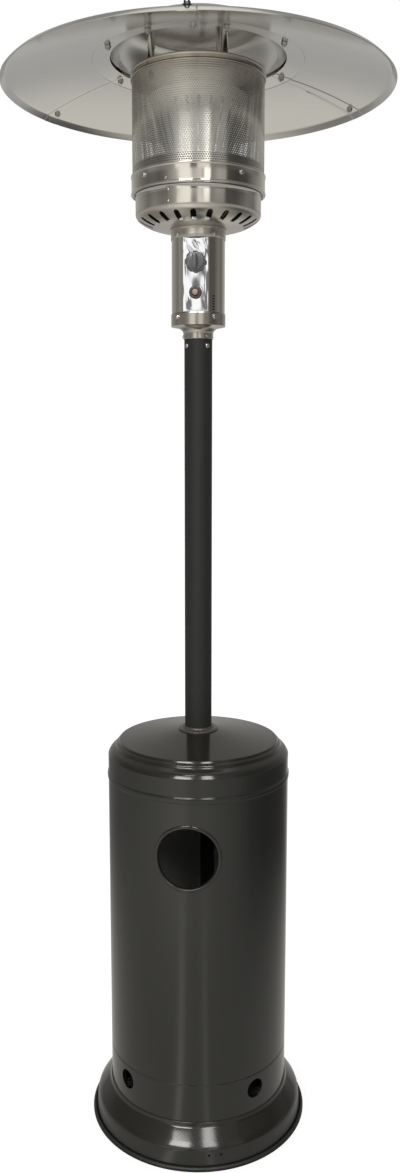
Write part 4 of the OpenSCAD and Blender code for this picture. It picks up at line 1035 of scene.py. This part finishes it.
# Painted shade: the top of the dome's hollow is given a dark colour through the tint group.
dome_painted_shade = ((0.17, 0.16, 0.13), 2.212, 2.2195, 1.0)
metal("dome_aluminium_painted_shade", (0.67, 0.655, 0.62), (0.11, 0.16), dome_painted_shade, 0.05, 3.0, 0.3)
metal("cone_steel", (0.76, 0.75, 0.71), (0.4, 0.48), None, 0.05)
metal("zinc", (0.50, 0.495, 0.47), (0.24, 0.36), None, 0.1)
metal("valve_brass", (0.60, 0.43, 0.18), (0.2, 0.32), None, 0.1)
metal("copper_tube", (0.62, 0.33, 0.21), (0.22, 0.36), None, 0.05)
metal("ballast_iron", (0.10, 0.10, 0.10), (0.55, 0.75), None, 0.05)
moulded("edge_rubber", (0.009, 0.009, 0.009), (0.45, 0.6), 0.4)
moulded("black_plastic", (0.05, 0.045, 0.042), (0.26, 0.36), 0.3)
moulded("knob_plastic", (0.11, 0.108, 0.112), (0.2, 0.3), 0.3)
moulded("button_red", (0.38, 0.245, 0.215), (0.14, 0.22), 0.1)
moulded("ceramic", (0.78, 0.75, 0.69), (0.2, 0.3), 0.1)
print("finishes:", sorted(finishes))

# %% [markdown]
# ## Dress every piece
# Each new piece and each solid of the frame takes the finish of its slot.

# %% Assign the finishes
special = {
    "screen_lower": "screen_steel", "screen_upper": "screen_steel", "screen_lid": "hot_steel",
    "hot_dome": "dome_aluminium_painted_shade", "slotted_dish": "satin_steel", "slot_tongues": "bright_plate",
    "scorched_lining": "scorch_and_shade_steel", "burner_head": "scorch_and_shade_steel",
    "mixing_tube": "scorch_and_shade_steel", "burner_cone": "cone_steel", "neck_flare": "neck_steel",
    "gas_knob": "knob_plastic", "bottle_shell": "shell_paint"}
for name, slot in made.items():
    bpy.data.objects[name].data.materials.append(finishes[special.get(name, slot)])
for name, solid in nodes.items():
    solid.data.materials.clear()
    solid.data.materials.append(finishes[special.get(name, slot_of[name])])
print("dressed:", len(made), "new pieces and", len(nodes), "solids")

# %% [markdown]
# ## Studio
# Polished steel shows the room, so the room is part of the picture. A pale wall is in front with
# three bright panes, the right side is dark, and the rest is soft grey. The walls are a ramp of
# the sky by compass angle, and the panes are area lights. The camera itself sees only white.

# %% Sky
ROOM = [
    (-180, 0.52), (-150, 0.5), (-130, 0.38), (-108, 0.22), (-90, 0.15), (-75, 0.16), (-62, 0.13),
    (-49, 0.22), (-38, 0.42), (-29, 0.6), (-23, 1.15), (-10, 1.25), (-5, 1.1), (-1, 0.62), (4, 0.74),
    (11, 0.85), (15.5, 0.6), (17.5, 1.75), (26, 1.75), (28.5, 0.28), (36, 0.4), (41, 0.52), (53, 0.46),
    (58, 0.1), (74, 0.06), (98, 0.08), (115, 0.22), (135, 0.36), (155, 0.5), (180, 0.52)]
SKIRTING = [
    (-180, 0.48), (-140, 0.44), (-110, 0.32), (-95, 0.22), (-80, 0.34), (-60, 0.26), (-40, 0.34),
    (-33, 0.5), (-29, 1.15), (-7.5, 1.2), (-4.5, 0.2), (4, 0.2), (8, 1.0), (24, 1.0), (28, 0.3),
    (52, 0.28), (57, 0.11), (80, 0.12), (104, 0.26), (125, 0.18), (145, 0.44), (180, 0.48)]
CEILING = (0.32, 0.315, 0.3, 1)
VAULT = (0.95, 0.94, 0.9, 1)


def compass_ramp(tree, place, stops):
    """Brightness by compass angle: the angle from the front towards the right, in degrees."""
    axes = node(tree, "SeparateXYZ", [("Vector", place)])
    compass = maths(tree, "ARCTAN2", axes["X"], maths(tree, "MULTIPLY", axes["Y"], -1.0))
    ramp = tree.nodes.new("ShaderNodeValToRGB")
    tree.links.new(ranged(tree, compass, -np.pi, np.pi), ramp.inputs["Fac"])
    elements = ramp.color_ramp.elements
    while len(elements) < len(stops):
        elements.new(0.5)
    for element, (degrees, light) in zip(elements, stops):
        element.position = (degrees + 180) / 360
        element.color = (light * 1.02, light, light * 0.94, 1)
    return ramp.outputs["Color"]


def by_ray(tree, others, camera):
    """One shader for the camera's own rays, another for all other rays."""
    seen = node(tree, "LightPath")["Is Camera Ray"]
    return node(tree, "MixShader", [(0, seen), (1, others), (2, camera)])["Shader"]


world = bpy.data.worlds.new("studio")
scene.world = world
world.use_nodes = True
tree = world.node_tree
tree.nodes.clear()
place = node(tree, "TexCoord")["Generated"]
height = heights(tree, place)
sides = compass_ramp(tree, place, SKIRTING), compass_ramp(tree, place, ROOM)
room = blend(tree, ranged(tree, height, 0.212, 0.222), *sides)
room = blend(tree, ranged(tree, height, 0.4, 0.8), room, CEILING)
room = blend(tree, ranged(tree, height, 0.88, 0.94), room, VAULT)
lit = node(tree, "Background", [("Color", room), ("Strength", 1.0)])["Background"]
white = node(tree, "Background", [("Color", (1, 1, 1, 1)), ("Strength", 1.0)])["Background"]
node(tree, "OutputWorld", [("Surface", by_ray(tree, lit, white))])
print("stops of the sky:", len(ROOM))

# %% [markdown]
# ## Panes
# Gloss paint reflects only a twenty-fifth of the light, so what makes a clear highlight on it has
# to be many times brighter than a white wall. Three far panes do that. They stand so high that the
# polished head doesn't mirror them. Seen from behind, the top of the reflector would, and lose all
# its detail, so light linking leaves the reflector out.

# %% Panes
PANE_DISTANCE = 12

not_by_panes = bpy.data.collections.new("not_by_panes")
for name in ("reflector_leaf_1", "reflector_leaf_2", "reflector_leaf_3", "hot_dome"):
    not_by_panes.objects.link(bpy.data.objects[name])
for entry in not_by_panes.collection_objects:
    entry.light_linking.link_state = "EXCLUDE"


def pane(name, degrees, span, brightness):
    """An upright pane between two compass angles and two heights in metres, facing the heater.
    A pane of area A and brightness L gives off pi times A times L watts."""
    middle = np.radians(sum(degrees) / 2)
    light = bpy.data.lights.new(name, "AREA")
    light.shape = "RECTANGLE"
    light.size = 2 * PANE_DISTANCE * np.tan(np.radians(degrees[1] - degrees[0]) / 2)
    light.size_y = span[1] - span[0]
    light.energy = np.pi * light.size * light.size_y * brightness
    light.color = (1.0, 0.99, 0.97)
    shown = bpy.data.objects.new(name, light)
    shown.location = around(PANE_DISTANCE, sum(span) / 2, middle)[0]
    shown.rotation_euler = (np.pi / 2, 0, middle)
    shown.visible_camera = False
    shown.light_linking.receiver_collection = not_by_panes
    scene.collection.objects.link(shown)


pane("pane_left", (-25, -3), (6.75, 11.3), 13.0)
pane("pane_left_high", (-16, 0), (15, 21), 6.0)
pane("pane_right", (12, 26), (7.0, 15), 10.0)

# %% [markdown]
# ## Floor
# The housing is seen from above, so what it mirrors is the floor in front of it. The floor is a
# disc that shines a little, brighter ahead and darker to the right and far away, with a painted
# shadow that fades its glow out at the foot of the heater. Seen directly, it is plain white with a
# painted contact shadow: a little darker round the foot, and black under the base, seen through the
# pan's holes.

# %% Floor
FLOOR = [
    (-180, 0.66), (-165, 0.6), (-146, 0.14), (-110, 0.18), (-80, 0.4), (-45, 0.72), (-24, 1.0),
    (-13, 1.05), (0, 0.7), (14, 0.76), (25, 0.62), (50, 0.4), (75, 0.09), (95, 0.02), (135, 0.02),
    (150, 0.12), (165, 0.6), (180, 0.66)]
NEAR_FLOOR = [
    (-180, 0.5), (-60, 0.46), (-24, 0.5), (-17, 0.6), (-12, 1.4), (-7, 0.6), (2, 0.48), (10, 0.55),
    (14, 0.95), (18, 0.5), (40, 0.44), (180, 0.5)]
FLOOR_R = np.array([0, 0.5, 2, 8, 40])
FLOOR_ANGLES = 64

floor_points = around(FLOOR_R[:, None], 0, full_turn(FLOOR_ANGLES)[None, :])
floor_mesh = bpy.data.meshes.new("floor")
floor_mesh.from_pydata(floor_points, [], quads(len(FLOOR_R), FLOOR_ANGLES, close_cols=True))
floor = bpy.data.objects.new("floor", floor_mesh)
scene.collection.objects.link(floor)
pale = bpy.data.materials.new("pale_floor")
pale.use_nodes = True
tree = pale.node_tree
tree.nodes.clear()
place = node(tree, "TexCoord")["Object"]
reach = from_axis(tree, place)


def by_reach(near, far, low, high):
    """A value that goes smoothly from low to high between two distances from the axis."""
    return ranged(tree, reach, near, far, low, high, "SMOOTHSTEP")


near_by, by_angle = compass_ramp(tree, place, NEAR_FLOOR), compass_ramp(tree, place, FLOOR)
shine = blend(tree, by_reach(0.4, 1.8, 0.0, 1.0), near_by, by_angle)
shine = blend(tree, by_reach(2.4, 6.0, 0.0, 1.0), shine, by_reach(6.0, 25.0, 0.38, 0.5))
# Painted contact shadow in what the heater sees: the floor's glow fades to nothing at the foot.
unseen = node(tree, "Emission", [("Color", shine), ("Strength", by_reach(0.222, 0.26, 0.0, 1.0))])
# Painted contact shadow for the camera: the white dims to 0.9 round the foot and is black under the
# base.
clear = maths(tree, "MULTIPLY", by_reach(0.22, 0.34, 0.9, 1.0), by_reach(0.2, 0.222, 0.0, 1.0))
plain = node(tree, "Emission", [("Color", (1, 1, 1, 1)), ("Strength", clear)])
both = by_ray(tree, unseen["Emission"], plain["Emission"])
matte = node(tree, "BsdfDiffuse", [("Color", (0.12, 0.12, 0.12, 1))])
total = node(tree, "AddShader", [(0, both), (1, matte["BSDF"])])
node(tree, "OutputMaterial", [("Surface", total["Shader"])])
floor_mesh.materials.append(pale)
scene.view_settings.view_transform = "Standard"
print("stops of the floor:", len(FLOOR))
